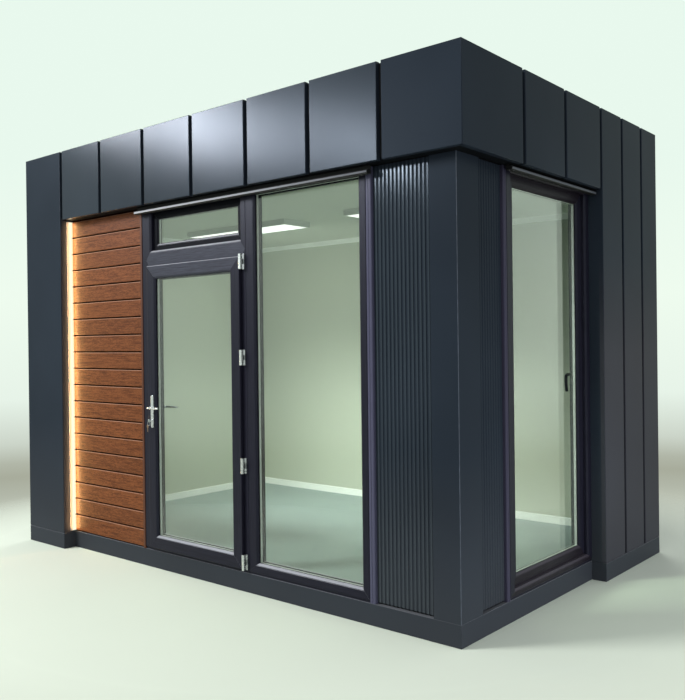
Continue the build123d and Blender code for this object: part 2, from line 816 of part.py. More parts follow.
outer_plate_y0 = leaf_face_y - plate_thickness
inner_plate_y1 = leaf_back_y + plate_thickness
plates = plate(outer_plate_y0) + plate(leaf_back_y)
plates += along_y(handle_x, cylinder_z, outer_plate_y0 - cylinder_proud, inner_plate_y1 + cylinder_proud,
                  cylinder_radius)
plates -= along_y(handle_x, lever_z, outer_plate_y0 - overshoot, leaf_face_y + overshoot,
                  neck_radius + neck_play)
plates -= along_y(handle_x, lever_z, leaf_back_y - overshoot, inner_plate_y1 + overshoot,
                  neck_radius + neck_play)
keep("handle_plates", plates)


def lever_arm(start_y, stand_y):
    """A round bar with one bend: out from the leaf, then along towards the hinges."""
    line = FilletPolyline(
        (handle_x, start_y, lever_z),
        (handle_x, stand_y, lever_z),
        (handle_x + lever_reach, stand_y, lever_z),
        radius=lever_bend,
    )
    return sweep(Plane(origin=line @ 0, z_dir=line % 0) * Circle(neck_radius), path=line)


outer_neck_y = leaf_face_y - neck_play
inner_neck_y = leaf_back_y + neck_play
outer_arm_y = outer_plate_y0 - lever_stand_off
inner_arm_y = inner_plate_y1 + lever_stand_off
lever = lever_arm(outer_neck_y, outer_arm_y)
lever += lever_arm(inner_neck_y, inner_arm_y)
lever += along_y(handle_x, lever_z, outer_neck_y - overshoot, inner_neck_y + overshoot, spindle_radius)
keep("door_lever", lever)


# Hinges: the frame half holds the pin in two knuckles, and the leaf half turns on it between them
def upright(z0, z1, radius):
    """A round bar on the hinge line."""
    return Pos(hinge_x, hinge_y, z0) * Cylinder(radius, z1 - z0, align=(Align.CENTER, Align.CENTER, Align.MIN))



def turned_end(z_end, z_in):
    """The end barrel of a hinge, with a turned edge at its free end."""
    barrel = upright(min(z_end, z_in), max(z_end, z_in), hinge_radius)
    rims = barrel.edges().filter_by(GeomType.CIRCLE).sort_by(Axis.Z)
    return chamfer(rims[0] if z_end < z_in else rims[-1], hinge_turned_edge)


hinge_third = hinge_height / 3
leaf_web_y = leaf_face_y + leaf_edge
frame_halves = []
leaf_halves = []
hinge_levels = [leaf_z0 + distance for distance in hinges_from_foot]
hinge_levels += [leaf_z1 - distance for distance in hinges_from_head]
for middle in hinge_levels:
    z0 = middle - hinge_height / 2
    z1 = middle + hinge_height / 2
    knuckle_z0 = z0 + hinge_third
    knuckle_z1 = z1 - hinge_third
    half = block(hinge_x, hinge_x + hinge_plate_width, screen_face_y - hinge_plate_thickness,
                 screen_face_y, z0, z1)
    half += upright(z0 + overshoot, z1 - overshoot, hinge_pin_radius)
    for z_end, z_in in ((z0, knuckle_z0), (z1, knuckle_z1)):
        half += turned_end(z_end, z_in)
        half += block(hinge_x, hinge_x + hinge_web, hinge_y, screen_face_y - overshoot, min(z_end, z_in),
                      max(z_end, z_in))
    frame_halves.append(half)
    turning = upright(knuckle_z0 + hinge_knuckle_gap, knuckle_z1 - hinge_knuckle_gap, hinge_radius)
    turning += block(leaf_x1, hinge_x, leaf_web_y, leaf_web_y + hinge_leaf_web,
                     knuckle_z0 + hinge_knuckle_gap, knuckle_z1 - hinge_knuckle_gap)
    turning -= upright(knuckle_z0, knuckle_z1, hinge_pin_radius + hinge_pin_play)
    leaf_halves.append(turning)
keep("frame_hinge_halves", *frame_halves)
keep("leaf_hinge_halves", *leaf_halves)

# Drip channels that hang under the soffit over the screen and over the side window
drip_u0 = screen_x0 - left_x - drip_overhang_left
drip_u1 = edge_trim_x1 - left_x + drip_overhang_right


def drip_channel(u0, u1, drop):
    """A channel open towards the wall, with closed ends, hung from the soffit by its back edge."""
    top = fascia_bottom - drop
    foot = top - drip_height
    back = drip_set_back + drip_flange
    section = [
        (drip_set_back, foot), (back, foot), (back, foot + drip_sheet), (drip_set_back + drip_sheet,
                                                                         foot + drip_sheet),
        (drip_set_back + drip_sheet, top - drip_sheet), (back, top - drip_sheet), (back, fascia_bottom),
        (back - drip_sheet, fascia_bottom), (back - drip_sheet, top), (drip_set_back, top),
    ]
    channel_run = run(section, u0, u1)
    for start in (u0, u1 - drip_sheet):
        channel_run += block(start, start + drip_sheet, drip_set_back, back, foot, top)
    return channel_run


side_drip = drip_channel(side_trim_u0 + seam, rear_return - seam, side_drip_drop)
keep("front_drip_channel", on_face("front", drip_channel(drip_u0, drip_u1, front_drip_drop)))
keep("side_drip_channel", on_face("right", side_drip))

# Room: linings, floor covering, ceiling, trims and lights
lining_foot = plinth_height
lining_y0 = front_wall_y + wall_thickness
lining_x1 = right_wall_x - wall_thickness
lining_x0 = left_wall_x + wall_thickness
lining_y1 = back_wall_y - wall_thickness
keep(
    "wall_linings",
    block(lining_x0, lining_x1, back_room_y, lining_y1, lining_foot, ceiling_bottom),
    block(lining_x0, left_room_x, front_room_y + seam, back_room_y - seam, lining_foot, ceiling_bottom),
    block(lining_x0, screen_x0, lining_y0, front_room_y, lining_foot, ceiling_bottom),
    block(screen_x1, lining_x1, lining_y0, front_room_y, lining_foot, ceiling_bottom),
    block(right_room_x, lining_x1, front_room_y + seam, front_y + side_u0, lining_foot, ceiling_bottom),
    block(right_room_x, lining_x1, front_y + side_u1, back_room_y - seam, lining_foot, ceiling_bottom),
)
side_frame_back_x = corner_x - frame_depth
reveal_x0 = screen_x0 + lining_thickness
reveal_x1 = screen_x1 - lining_thickness
reveal_y0 = front_y + side_u0 + lining_thickness
reveal_y1 = front_y + side_u1 - lining_thickness
keep(
    "reveal_linings",
    block(screen_x0, reveal_x0, screen_back_y, front_room_y, lining_foot, ceiling_bottom),
    block(reveal_x1, screen_x1, screen_back_y, front_room_y, lining_foot, ceiling_bottom),
    block(right_room_x, side_frame_back_x, front_y + side_u0, reveal_y0, lining_foot, ceiling_bottom),
    block(right_room_x, side_frame_back_x, reveal_y1, front_y + side_u1, lining_foot, ceiling_bottom),
)
floor_outline = [
    (left_room_x, front_room_y),
    (reveal_x0, front_room_y),
    (reveal_x0, screen_back_y),
    (reveal_x1, screen_back_y),
    (reveal_x1, front_room_y),
    (right_room_x, front_room_y),
    (right_room_x, reveal_y0),
    (side_frame_back_x, reveal_y0),
    (side_frame_back_x, reveal_y1),
    (right_room_x, reveal_y1),
    (right_room_x, back_room_y),
    (left_room_x, back_room_y),
]
keep("floor_covering", prism(floor_outline, plinth_height, floor_top))
ceiling_outline = [
    (lining_x0, lining_y0),
    (screen_x0, lining_y0),
    (screen_x0, screen_back_y),
    (screen_x1, screen_back_y),
    (screen_x1, lining_y0),
    (lining_x1, lining_y0),
    (lining_x1, front_y + side_u0),
    (side_frame_back_x, front_y + side_u0),
    (side_frame_back_x, front_y + side_u1),
    (lining_x1, front_y + side_u1),
    (lining_x1, lining_y1),
    (lining_x0, lining_y1),
]
keep("ceiling_lining", prism(ceiling_outline, ceiling_bottom, roof_bottom))


def room_edge(face, section, depth):
    """A moulding along one whole side of the room, mitred into its neighbours."""
    width = right_room_x - left_room_x
    length = back_room_y - front_room_y
    x, y, turn, span = {
        "front": (left_room_x, front_room_y, 0, width),
        "right": (right_room_x, front_room_y, 90, length),
        "back": (right_room_x, back_room_y, 180, width),
        "left": (left_room_x, back_room_y, 270, length),
    }[face]
    return Pos(x, y, 0) * Rot(0, 0, turn) * mitred(section, span, depth)


cornice_section = [
    (0, ceiling_bottom - cornice_height),
    (cornice_depth, ceiling_bottom - cornice_height),
    (cornice_depth, ceiling_bottom),
    (0, ceiling_bottom),
]
keep(
    "ceiling_trim",
    room_edge("back", cornice_section, cornice_depth),
    room_edge("left", cornice_section, cornice_depth),
)
skirting_section = [
    (0, floor_top),
    (skirting_thickness, floor_top),
    (skirting_thickness, floor_top + skirting_height - skirting_bevel),
    (skirting_thickness - skirting_bevel, floor_top + skirting_height),
    (0, floor_top + skirting_height),
]
front_left_run = block(left_room_x + skirting_thickness + seam, screen_x0, front_room_y,
                       front_room_y + skirting_thickness, floor_top, floor_top + skirting_height)
right_rear_run = block(right_room_x - skirting_thickness, right_room_x, front_y + side_u1,
                       back_room_y - skirting_thickness - seam, floor_top, floor_top + skirting_height)
keep(
    "skirting",
    room_edge("back", skirting_section, skirting_thickness),
    room_edge("left", skirting_section, skirting_thickness),
    front_left_run,
    right_rear_run,
)
light_y = front_y + light_from_front
keep(
    "ceiling_lights",
    *[
        block(x - light_length / 2, x + light_length / 2, light_y - light_width / 2, light_y + light_width / 2,
              ceiling_bottom - light_height, ceiling_bottom)
        for x in light_rows
    ],
)

os.makedirs("parts", exist_ok=True)
for name, shape in parts.items():
    export_step(shape, f"parts/{name}.step")
print(len(parts), "nodes written")
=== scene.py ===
import math

import bmesh
import bpy
import numpy as np
from mathutils import Matrix, Vector


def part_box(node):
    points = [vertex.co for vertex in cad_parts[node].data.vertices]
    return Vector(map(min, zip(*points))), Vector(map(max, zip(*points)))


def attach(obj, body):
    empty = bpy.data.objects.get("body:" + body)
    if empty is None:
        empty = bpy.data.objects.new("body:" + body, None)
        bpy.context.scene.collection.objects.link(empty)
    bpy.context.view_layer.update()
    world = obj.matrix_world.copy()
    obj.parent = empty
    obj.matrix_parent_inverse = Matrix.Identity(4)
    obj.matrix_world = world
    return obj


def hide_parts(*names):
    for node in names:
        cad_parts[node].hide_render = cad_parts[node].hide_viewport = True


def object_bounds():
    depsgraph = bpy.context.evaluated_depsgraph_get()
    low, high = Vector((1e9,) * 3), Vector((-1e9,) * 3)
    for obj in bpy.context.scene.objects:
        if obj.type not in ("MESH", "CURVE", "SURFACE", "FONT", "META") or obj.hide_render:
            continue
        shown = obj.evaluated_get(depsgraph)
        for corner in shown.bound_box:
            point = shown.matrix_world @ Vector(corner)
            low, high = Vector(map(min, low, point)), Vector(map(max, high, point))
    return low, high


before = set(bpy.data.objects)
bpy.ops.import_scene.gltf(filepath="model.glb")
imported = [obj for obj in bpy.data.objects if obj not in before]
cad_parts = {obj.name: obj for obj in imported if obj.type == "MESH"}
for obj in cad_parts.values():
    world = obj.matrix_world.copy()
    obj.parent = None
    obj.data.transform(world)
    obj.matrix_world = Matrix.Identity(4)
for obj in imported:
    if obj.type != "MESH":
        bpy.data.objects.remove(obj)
cadLow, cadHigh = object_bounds()
cadBox = [list(cadLow), list(cadHigh)]
print("frame loaded,", len(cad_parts), "nodes")


def spanOf(node):
    low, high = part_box(node)
    return np.array(low), np.array(high)


def addObject(name, data):
    made = bpy.data.objects.new(name, data)
    bpy.context.scene.collection.objects.link(made)
    return made


frontPlane = spanOf("entrance_frame")[0][1]      # outer face of the entrance screen
sidePlane = spanOf("side_window_frame")[1][0]    # outer face of the side window
podLow, podHigh = np.array(cadBox)


# Node trees: a tool gives back an output socket, and an input takes a plain value or such a socket
def feed(tree, target, key, value):
    if isinstance(value, bpy.types.NodeSocket):
        tree.links.new(value, target.inputs[key])
    else:
        target.inputs[key].default_value = value


def addNode(tree, kind, inputs=None, **settings):
    made = tree.nodes.new("ShaderNode" + kind)
    for key, value in settings.items():
        setattr(made, key, value)
    for key, value in (inputs or {}).items():
        feed(tree, made, key, value)
    return made


def placeOn(tree, stretch=(1, 1, 1), source=None):
    # object coordinates, stretched so that a pattern runs long one way
    if source is None:
        source = addNode(tree, "TexCoord").outputs["Object"]
    return addNode(tree, "Mapping", {"Vector": source, "Scale": stretch}).outputs["Vector"]


def noiseOn(tree, place, scale, detail=3.0, rough=0.5):
    values = {"Vector": place, "Scale": scale, "Detail": detail, "Roughness": rough}
    return addNode(tree, "TexNoise", values).outputs["Fac"]


def rampOf(tree, share, stops):
    ramp = addNode(tree, "ValToRGB", {"Fac": share})
    band = ramp.color_ramp
    while len(band.elements) < len(stops):
        band.elements.new(0.5)
    for element, (place, colour) in zip(band.elements, stops):
        element.position = place
        element.color = (*colour, 1)
    return ramp.outputs["Color"]


def rangeOf(tree, value, low, high, toLow, toHigh):
    values = {"Value": value, "From Min": low, "From Max": high, "To Min": toLow, "To Max": toHigh}
    return addNode(tree, "MapRange", values).outputs["Result"]


def axisOf(tree, place, axis):
    return addNode(tree, "SeparateXYZ", {"Vector": place}).outputs[axis]


def mathOf(tree, operation, first, second=0.0):
    return addNode(tree, "Math", {0: first, 1: second}, operation=operation).outputs["Value"]


def blendOf(tree, share, first, colour):
    return addNode(tree, "Mix", {0: share, 6: first, 7: (*colour, 1)}, data_type="RGBA").outputs[2]


def reliefOf(tree, height, strength, distance):
    values = {"Height": height, "Strength": strength, "Distance": distance}
    return addNode(tree, "Bump", values).outputs["Normal"]


def scaled(colour, amount):
    return tuple(min(1.0, c * amount) for c in colour)


def cloudTone(tree, share, colour, low, high, stops=(0.3, 0.7)):
    # the colour times low to the colour times high
    return rampOf(tree, share, [(stops[0], scaled(colour, low)), (stops[1], scaled(colour, high))])


def paintedLightOnTop(tree, source, colour, most):
    # painted light: faces that look up are painted paler, as if lit from above; the share grows with the
    # normal's height
    facing = axisOf(tree, addNode(tree, "TexCoord").outputs["Normal"], "Z")
    return blendOf(tree, rangeOf(tree, facing, 0.15, 0.80, 0.0, most), source, colour)


def fadeOut(tree, share, tint=(1, 1, 1)):
    # where the share is 1, the surface is only a clear tint
    clear = addNode(tree, "BsdfTransparent", {"Color": (*tint, 1)}).outputs["BSDF"]
    solid = tree.nodes["Principled BSDF"].outputs["BSDF"]
    mixed = addNode(tree, "MixShader", {0: share, 1: solid, 2: clear}).outputs["Shader"]
    feed(tree, tree.nodes["Material Output"], "Surface", mixed)


def makeFinish(name, recipe, look):
    # the recipe gives what each socket of the shader takes
    finish = bpy.data.materials.new(name)
    finish.use_nodes = True
    tree = finish.node_tree
    for key, value in recipe(tree, look).items():
        feed(tree, tree.nodes["Principled BSDF"], key, value)
    return finish


# Finishes
# paintedLowLight is painted bounce light, paler towards the foot: lowLightMost below lowLightFullBelow,
# fading to nothing at lowLightGoneAbove
claddingLook = {"colour": (0.0205, 0.0280, 0.0390), "paintedLowLight": (0.085, 0.085, 0.09),
                "paintedTopLight": (0.16, 0.17, 0.19), "lowLightFullBelow": 0.0, "lowLightGoneAbove": 1.0, "lowLightMost": 0.30,
                "rough": 0.34, "smear": 0.012, "shine": 0.025, "shineTint": (0.75, 0.88, 1.0),
                "clouds": 1.1, "smears": 4.0, "peel": 330.0, "peelRelief": 0.12, "topLightMost": 0.8}
# the rear panels are painted paler and warmer below 1.5 m, fading out by 2.2 m: painted light
rearLowLightLook = dict(claddingLook, paintedLowLight=(0.115, 0.098, 0.108), lowLightFullBelow=1.5, lowLightGoneAbove=2.2, lowLightMost=0.25)
fasciaLook = dict(claddingLook, rough=0.21, shine=0.13)     # the same paint, wiped clean high up
crestLook = dict(claddingLook, rough=0.14, shine=0.30)      # and rubbed bright along the ribs


def coatedSheet(tree, look):
    # satin paint on folded sheet: slow clouds, a fine orange peel and smears in its gloss, with painted
    # bounce light paler towards the foot and painted light on faces that look up
    place = placeOn(tree)
    tone = cloudTone(tree, noiseOn(tree, place, look["clouds"], 2.0), look["colour"], 0.85, 1.15)
    paintedLowLight = rangeOf(tree, axisOf(tree, place, "Z"), look["lowLightFullBelow"], look["lowLightGoneAbove"], look["lowLightMost"], 0.0)
    tone = paintedLightOnTop(tree, blendOf(tree, paintedLowLight, tone, look["paintedLowLight"]), look["paintedTopLight"], look["topLightMost"])
    smear, rough, play = noiseOn(tree, place, look["smears"], 4.0), look["rough"], look["smear"]
    return {"Base Color": tone,
            "Roughness": rangeOf(tree, smear, 0.3, 0.7, rough - play, rough + play),
            "Specular IOR Level": look["shine"], "Specular Tint": (*look["shineTint"], 1),
            "Normal": reliefOf(tree, noiseOn(tree, place, look["peel"], 2.0), look["peelRelief"], 0.0004)}


foilLook = {"colour": (0.0110, 0.0108, 0.0190), "paintedTopLight": (0.46, 0.47, 0.52), "rough": 0.34, "shine": 0.14,
            "shineTint": (0.85, 0.88, 1.0), "across": 260.0, "along": 8.0, "emboss": 0.4, "topLightMost": 0.9}
paintedLightFoilLook = dict(foilLook, colour=(0.036, 0.038, 0.052))     # rails over the door, painted lighter for the light they catch
sideFoilLook = dict(foilLook, colour=(0.0130, 0.0105, 0.0150), paintedTopLight=(0.07, 0.062, 0.078), shine=0.10)
shadeFoilLook = dict(foilLook, colour=(0.0040, 0.0043, 0.0065), shine=0.05)     # bars under the soffit, painted darker as its shade


def grainedFoil(tree, look):
    # embossed foil: streaks drawn out along one axis, darker and duller in the pores, and faces that look up
    # painted paler as light from above
    stretch = [look["along"] if axis == look["axis"] else look["across"] for axis in range(3)]
    grain = noiseOn(tree, placeOn(tree, stretch), 1.0, 5.0, 0.6)
    tone = cloudTone(tree, grain, look["colour"], 0.7, 1.35, (0.35, 0.6))
    return {"Base Color": paintedLightOnTop(tree, tone, look["paintedTopLight"], look["topLightMost"]),
            "Roughness": rangeOf(tree, grain, 0.3, 0.7, look["rough"] + 0.12, look["rough"] - 0.04),
            "Specular IOR Level": look["shine"], "Specular Tint": (*look["shineTint"], 1),
            "Normal": reliefOf(tree, grain, look["emboss"], 0.0007)}


boardLook = {"dark": (0.090, 0.027, 0.009), "mid": (0.162, 0.051, 0.0165), "light": (0.235, 0.080, 0.028),
             "grain": (5.0, 70.0, 70.0), "pores": (60.0, 420.0, 420.0), "flow": 1.6, "play": 0.08,
             "shine": 0.12, "boardCount": 19, "lowest": 0.1302, "pitch": 0.1288, "gap": 0.009,
             "gapDepth": 0.012, "arris": 0.0045, "thickness": 0.020, "endLeft": 0.001, "endRight": 0.0025}


def sawnBoards(tree, look):
    # each board takes its own stretch of grain and depth of stain, from its number counted up the wall
    place = addNode(tree, "TexCoord").outputs["Object"]
    height = mathOf(tree, "SUBTRACT", axisOf(tree, place, "Z"), look["lowest"])
    number = mathOf(tree, "FLOOR", mathOf(tree, "DIVIDE", height, look["pitch"]))
    chance = addNode(tree, "TexWhiteNoise", {"W": number}, noise_dimensions="1D")
    shift = addNode(tree, "VectorMath", {0: chance.outputs["Color"], "Scale": 9.0}, operation="SCALE")
    moved = addNode(tree, "VectorMath", {0: place, 1: shift.outputs["Vector"]}, operation="ADD")
    flow = noiseOn(tree, placeOn(tree, look["grain"], moved.outputs["Vector"]), look["flow"], 6.0, 0.6)
    pores = noiseOn(tree, placeOn(tree, look["pores"], moved.outputs["Vector"]), 1.0, 3.0, 0.6)
    tone = rampOf(tree, flow, [(0.32, look["dark"]), (0.48, look["mid"]), (0.72, look["light"])])
    shade = rangeOf(tree, pores, 0.38, 0.60, 0.52, 1.18)
    depth = rangeOf(tree, chance.outputs["Value"], 0.0, 1.0, 1 - look["play"], 1 + look["play"])
    stain = mathOf(tree, "MULTIPLY", shade, depth)
    wood = addNode(tree, "VectorMath", {0: tone, "Scale": stain}, operation="SCALE")
    return {"Base Color": wood.outputs["Vector"], "Roughness": rangeOf(tree, pores, 0.3, 0.7, 0.58, 0.42),
            "Specular IOR Level": look["shine"], "Normal": reliefOf(tree, pores, 0.5, 0.0008)}


plainLook = {"shine": 0.5, "metal": 0.0, "vary": 0.08, "grain": 60.0, "relief": 0.05, "stretch": (1, 1, 1)}


def plainPaint(tree, look):
    # one colour with clouding, fine relief and a little play in its gloss
    cloud = noiseOn(tree, placeOn(tree, look["stretch"]), look["grain"], 4.0)
    rough = look["rough"]
    return {"Base Color": cloudTone(tree, cloud, look["colour"], 1 - look["vary"], 1 + look["vary"]),
            "Roughness": rangeOf(tree, cloud, 0.3, 0.7, rough - 0.05, rough + 0.05),
            "Specular IOR Level": look["shine"], "Metallic": look["metal"],
            "Normal": reliefOf(tree, cloud, look["relief"], 0.0005)}


paneLook = {"tint": (0.962, 0.985, 0.962), "shadowTint": (0.95, 0.975, 0.945), "ior": 1.45}


def clearPane(tree, look):
    # clear glass that lets lamps through unbent, so the room behind it is lit
    rays = addNode(tree, "LightPath").outputs
    fadeOut(tree, mathOf(tree, "MAXIMUM", rays["Is Shadow Ray"], rays["Is Diffuse Ray"]), look["shadowTint"])
    return {"Base Color": (*look["tint"], 1), "Transmission Weight": 1.0, "Roughness": 0.0,
            "IOR": look["ior"]}


stripLook = {"outer": -1.295, "inner": -1.2505, "strength": 1.05, "base": (0.02, 0.018, 0.015),
             "fall": [(0.00, (0.28, 0.15, 0.08)), (0.20, (0.62, 0.44, 0.27)), (0.38, (0.95, 0.82, 0.60)),
                      (0.55, (1.0, 0.97, 0.74)), (1.00, (1.0, 0.88, 0.60))]}


def warmStrip(tree, look):
    # lit strip whose light falls off from cream at the wall to orange at its outer edge, along object y
    across = rangeOf(tree, axisOf(tree, placeOn(tree), "Y"), look["outer"], look["inner"], 0.0, 1.0)
    return {"Emission Color": rampOf(tree, across, look["fall"]), "Emission Strength": look["strength"],
            "Base Color": (*look["base"], 1), "Roughness": 0.5}


railFalloffLook = {"from": -0.69, "to": 1.455, "rough": 0.45, "shine": 0.2,
            "tone": [(0.0, (0.40, 0.41, 0.44)), (0.45, (0.27, 0.28, 0.31)), (0.75, (0.12, 0.125, 0.14)),
                     (1.0, (0.05, 0.055, 0.065))]}


def railWithPaintedFalloff(tree, look):
    # zinc with painted light: bright at one end and painted darker towards the other, with streaks along it
    along = rangeOf(tree, axisOf(tree, placeOn(tree), "X"), look["from"], look["to"], 0.0, 0.92)
    streak = noiseOn(tree, placeOn(tree, (4, 90, 90)), 3.0, 4.0)
    aged = mathOf(tree, "ADD", along, rangeOf(tree, streak, 0.3, 0.7, 0.0, 0.08))
    return {"Base Color": rampOf(tree, aged, look["tone"]), "Roughness": look["rough"],
            "Specular IOR Level": look["shine"], "Normal": reliefOf(tree, streak, 0.05, 0.0005)}


lampFaceLook = {"colour": (0.97, 0.98, 0.96), "strength": 1.15, "base": (0.8, 0.8, 0.8), "clouds": 14.0}


def litPanel(tree, look):
    # a diffuser lit from within, a little uneven along its length
    glow = cloudTone(tree, noiseOn(tree, placeOn(tree), look["clouds"], 2.0), look["colour"], 0.93, 1.0)
    return {"Emission Color": glow, "Emission Strength": look["strength"], "Base Color": (*look["base"], 1),
            "Roughness": 0.5}


finishes = {key: makeFinish(name, recipe, look) for key, name, recipe, look in (
    ("cladding", "coatedSheet", coatedSheet, claddingLook),
    ("fascia", "wipedSheet", coatedSheet, fasciaLook),
    ("crest", "ribCrest", coatedSheet, crestLook),
    ("rearLowLight", "sheetPaintedLowLight", coatedSheet, rearLowLightLook),
    ("foilUp", "foilGrainUp", grainedFoil, dict(foilLook, axis=2)),
    ("foilAlong", "foilGrainAlongFront", grainedFoil, dict(foilLook, axis=0)),
    ("foilSide", "foilGrainAlongSide", grainedFoil, dict(sideFoilLook, axis=1)),
    ("foilPaintedLight", "foilGrainPaintedLight", grainedFoil, dict(paintedLightFoilLook, axis=0)),
    ("foilShade", "foilGrainShade", grainedFoil, dict(shadeFoilLook, axis=0)),
    ("boards", "stainedBoards", sawnBoards, boardLook),
    ("pane", "clearPane", clearPane, paneLook),
    ("railPaintedFalloff", "railPaintedLightFalloff", railWithPaintedFalloff, railFalloffLook),
    ("lampFace", "lampDiffuser", litPanel, lampFaceLook),
    ("glow", "warmDiffuser", warmStrip, stripLook),
)}

upTrim = {"grain": 9, "stretch": (40, 40, 1)}       # streaks that run up a strip
lining = {"shine": 0.2, "vary": 0.02, "grain": 90, "relief": 0.08}
plainFinishes = {       # material, colour, roughness, and what differs from plainLook
    "soffit": ("darkSoffit", (0.004, 0.0045, 0.006), 0.6, {"shine": 0.05}),
    # painted highlight along the corner's arris
    "paintedEdgeLight": ("paintedEdgeLight", (0.075, 0.090, 0.115), 0.35, {"shine": 0.2, "vary": 0.25, "grain": 30}),
    "clip": ("darkClip", (0.02, 0.015, 0.012), 0.5, {"shine": 0.2}),
    "groove": ("grooveBrown", (0.014, 0.005, 0.003), 0.8, {"shine": 0.0, "vary": 0.3}),
    # painted highlight on the boards' upper arrises
    "boardArrisLight": ("paintedArrisLight", (0.34, 0.185, 0.125), 0.5,
                   {"shine": 0.1, "vary": 0.2, "grain": 40, "stretch": (1, 20, 20)}),
    "boardTrim": ("brownTrim", (0.095, 0.036, 0.020), 0.42,
                  {"shine": 0.15, "vary": 0.15, "grain": 9, "stretch": (30, 30, 1)}),
    "edgeTrim": ("violetGreyTrim", (0.078, 0.079, 0.128), 0.30, dict(upTrim, shine=0.10, vary=0.10)),
    # a darker copy of the trim for the side: painted shade
    "edgeTrimShaded": ("violetGreyTrimPaintedShade", (0.046, 0.044, 0.072), 0.34, dict(upTrim, shine=0.05, vary=0.10)),
    "spacer": ("spacerBar", (0.62, 0.66, 0.63), 0.35, {"metal": 0.2, "vary": 0.04}),
    "seal": ("rubberSeal", (0.008, 0.008, 0.009), 0.62, {"shine": 0.3}),
    "steel": ("satinSteel", (0.66, 0.67, 0.69), 0.26,
              {"metal": 1.0, "vary": 0.05, "grain": 240, "relief": 0.03}),
    "greySteel": ("greyRail", (0.105, 0.115, 0.135), 0.45,
                  {"shine": 0.2, "vary": 0.06, "grain": 30, "stretch": (30, 1, 30)}),
    "brass": ("keyBrass", (0.30, 0.20, 0.13), 0.35, {"metal": 1.0, "vary": 0.1, "grain": 200}),
    "zinc": ("galvanisedSteel", (0.40, 0.42, 0.44), 0.42,
             {"metal": 0.75, "vary": 0.18, "grain": 38, "relief": 0.04}),
    "ply": ("plywoodDeck", (0.34, 0.235, 0.135), 0.7,
            {"shine": 0.3, "vary": 0.22, "grain": 5, "stretch": (1, 14, 14)}),
    "breather": ("breatherSheet", (0.006, 0.006, 0.007), 0.75, {"shine": 0.15, "vary": 0.2}),
    "membrane": ("roofMembrane", (0.055, 0.058, 0.062), 0.72,
                 {"shine": 0.3, "vary": 0.2, "grain": 3.0, "relief": 0.1}),
    "roomWall": ("paintedLining", (0.455, 0.490, 0.405), 0.6, lining),
    "ceiling": ("ceilingLining", (0.50, 0.530, 0.455), 0.6, lining),
    "roomTrim": ("paleMoulding", (0.84, 0.87, 0.84), 0.35, {"vary": 0.02}),
    "roomFloor": ("blueGreyFloor", (0.27, 0.345, 0.345), 0.45, {"shine": 0.3, "vary": 0.05, "grain": 40}),
    "lampBody": ("lampHousing", (0.42, 0.46, 0.41), 0.45, {"vary": 0.03}),
    "channel": ("lightChannel", (0.55, 0.55, 0.55), 0.4, {"vary": 0.05}),
    "handleDark": ("darkHandle", (0.006, 0.006, 0.007), 0.4, {"shine": 0.04}),
}
for key, (name, colour, rough, others) in plainFinishes.items():
    finishes[key] = makeFinish(name, plainPaint, dict(plainLook, colour=colour, rough=rough, **others))

nodeFinish = {      # solids that show as they are
    "soffit": ["soffit"],
    "foilUp": ["window_glazing_beads", "door_glazing_beads", "reveal_linings"],
    "cladding": ["parapet_capping"],
    "zinc": ["base_rails", "base_joists"],
    "ply": ["floor_deck"],
    "breather": ["back_wall", "left_wall", "boarded_wall", "corner_pier_front", "corner_pier_side",
                 "right_rear_wall", "left_column_core", "right_rear_core", "roof_deck", "parapet"],
    "membrane": ["roof_membrane"],
    "boardTrim": ["board_end_trim"],
    "foilAlong": ["frame_sills"],
    "steel": ["frame_hinge_halves", "leaf_hinge_halves"],
    "roomWall": ["wall_linings"],
    "ceiling": ["ceiling_lining"],
    "roomTrim": ["ceiling_trim", "skirting"],
    "roomFloor": ["floor_covering"],
}
for key, names in nodeFinish.items():
    for name in names:
        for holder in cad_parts[name].material_slots:
            holder.material = finishes[key]
print("finishes made")


# Surfaces: a shell is a pair of vertices and faces, and one or more shells make a piece
def loft(loops):
    # loops (n, m, 3) of points round a closed section: neighbours are joined by quads, both ends are capped
    count, wide = loops.shape[:2]
    here = np.arange(count * wide).reshape(count, wide)
    beside = np.roll(here, -1, axis=1)
    quads = np.stack([here[:-1], beside[:-1], beside[1:], here[1:]], axis=-1).reshape(-1, 4)
    return loops.reshape(-1, 3), quads.tolist() + [here[0][::-1].tolist(), here[-1].tolist()]


def joined(shells):
    # vertices are stacked, and each shell's face numbers move up by what came before it
    points, faces, count = [], [], 0
    for shellPoints, shellFaces in shells:
        points.append(shellPoints)
        faces += [[number + count for number in face] for face in shellFaces]
        count += len(shellPoints)
    return np.vstack(points), faces


smoothWidth = 0.006     # faces wider than this are shaded flat, so that they don't look padded


def makePiece(name, shells, body, slotName, *materials, marks=None, smooth=None, replaced=None):
    points, faces = joined(shells)
    mesh = bpy.data.meshes.new(name)
    mesh.from_pydata(points.tolist(), [], faces)
    for material in materials:
        mesh.materials.append(finishes[material])
    if marks is not None:
        each = [np.broadcast_to(mark, len(shellFaces)) for mark, (_, shellFaces) in zip(marks, shells)]
        mesh.polygons.foreach_set("material_index", np.concatenate(each).astype(np.int32))
    work = bmesh.new()
    work.from_mesh(mesh)
    bmesh.ops.recalc_face_normals(work, faces=work.faces)
    narrow = [2 * face.calc_area() < smoothWidth * face.calc_perimeter() for face in work.faces]
    work.to_mesh(mesh)
    work.free()
    if smooth:
        mesh.set_sharp_from_angle(angle=math.radians(smooth))
        mesh.polygons.foreach_set("use_smooth", narrow)
    mesh.update()
    piece = addObject(name, mesh)
    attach(piece, body)
    if replaced:
        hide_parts(replaced)


def marked(outline, chosen):
    # a mark for each face of a bar with this outline, its two ends last: 1 on the chosen ones
    marks = np.zeros(len(outline) + 2, int)
    marks[chosen] = 1
    return marks


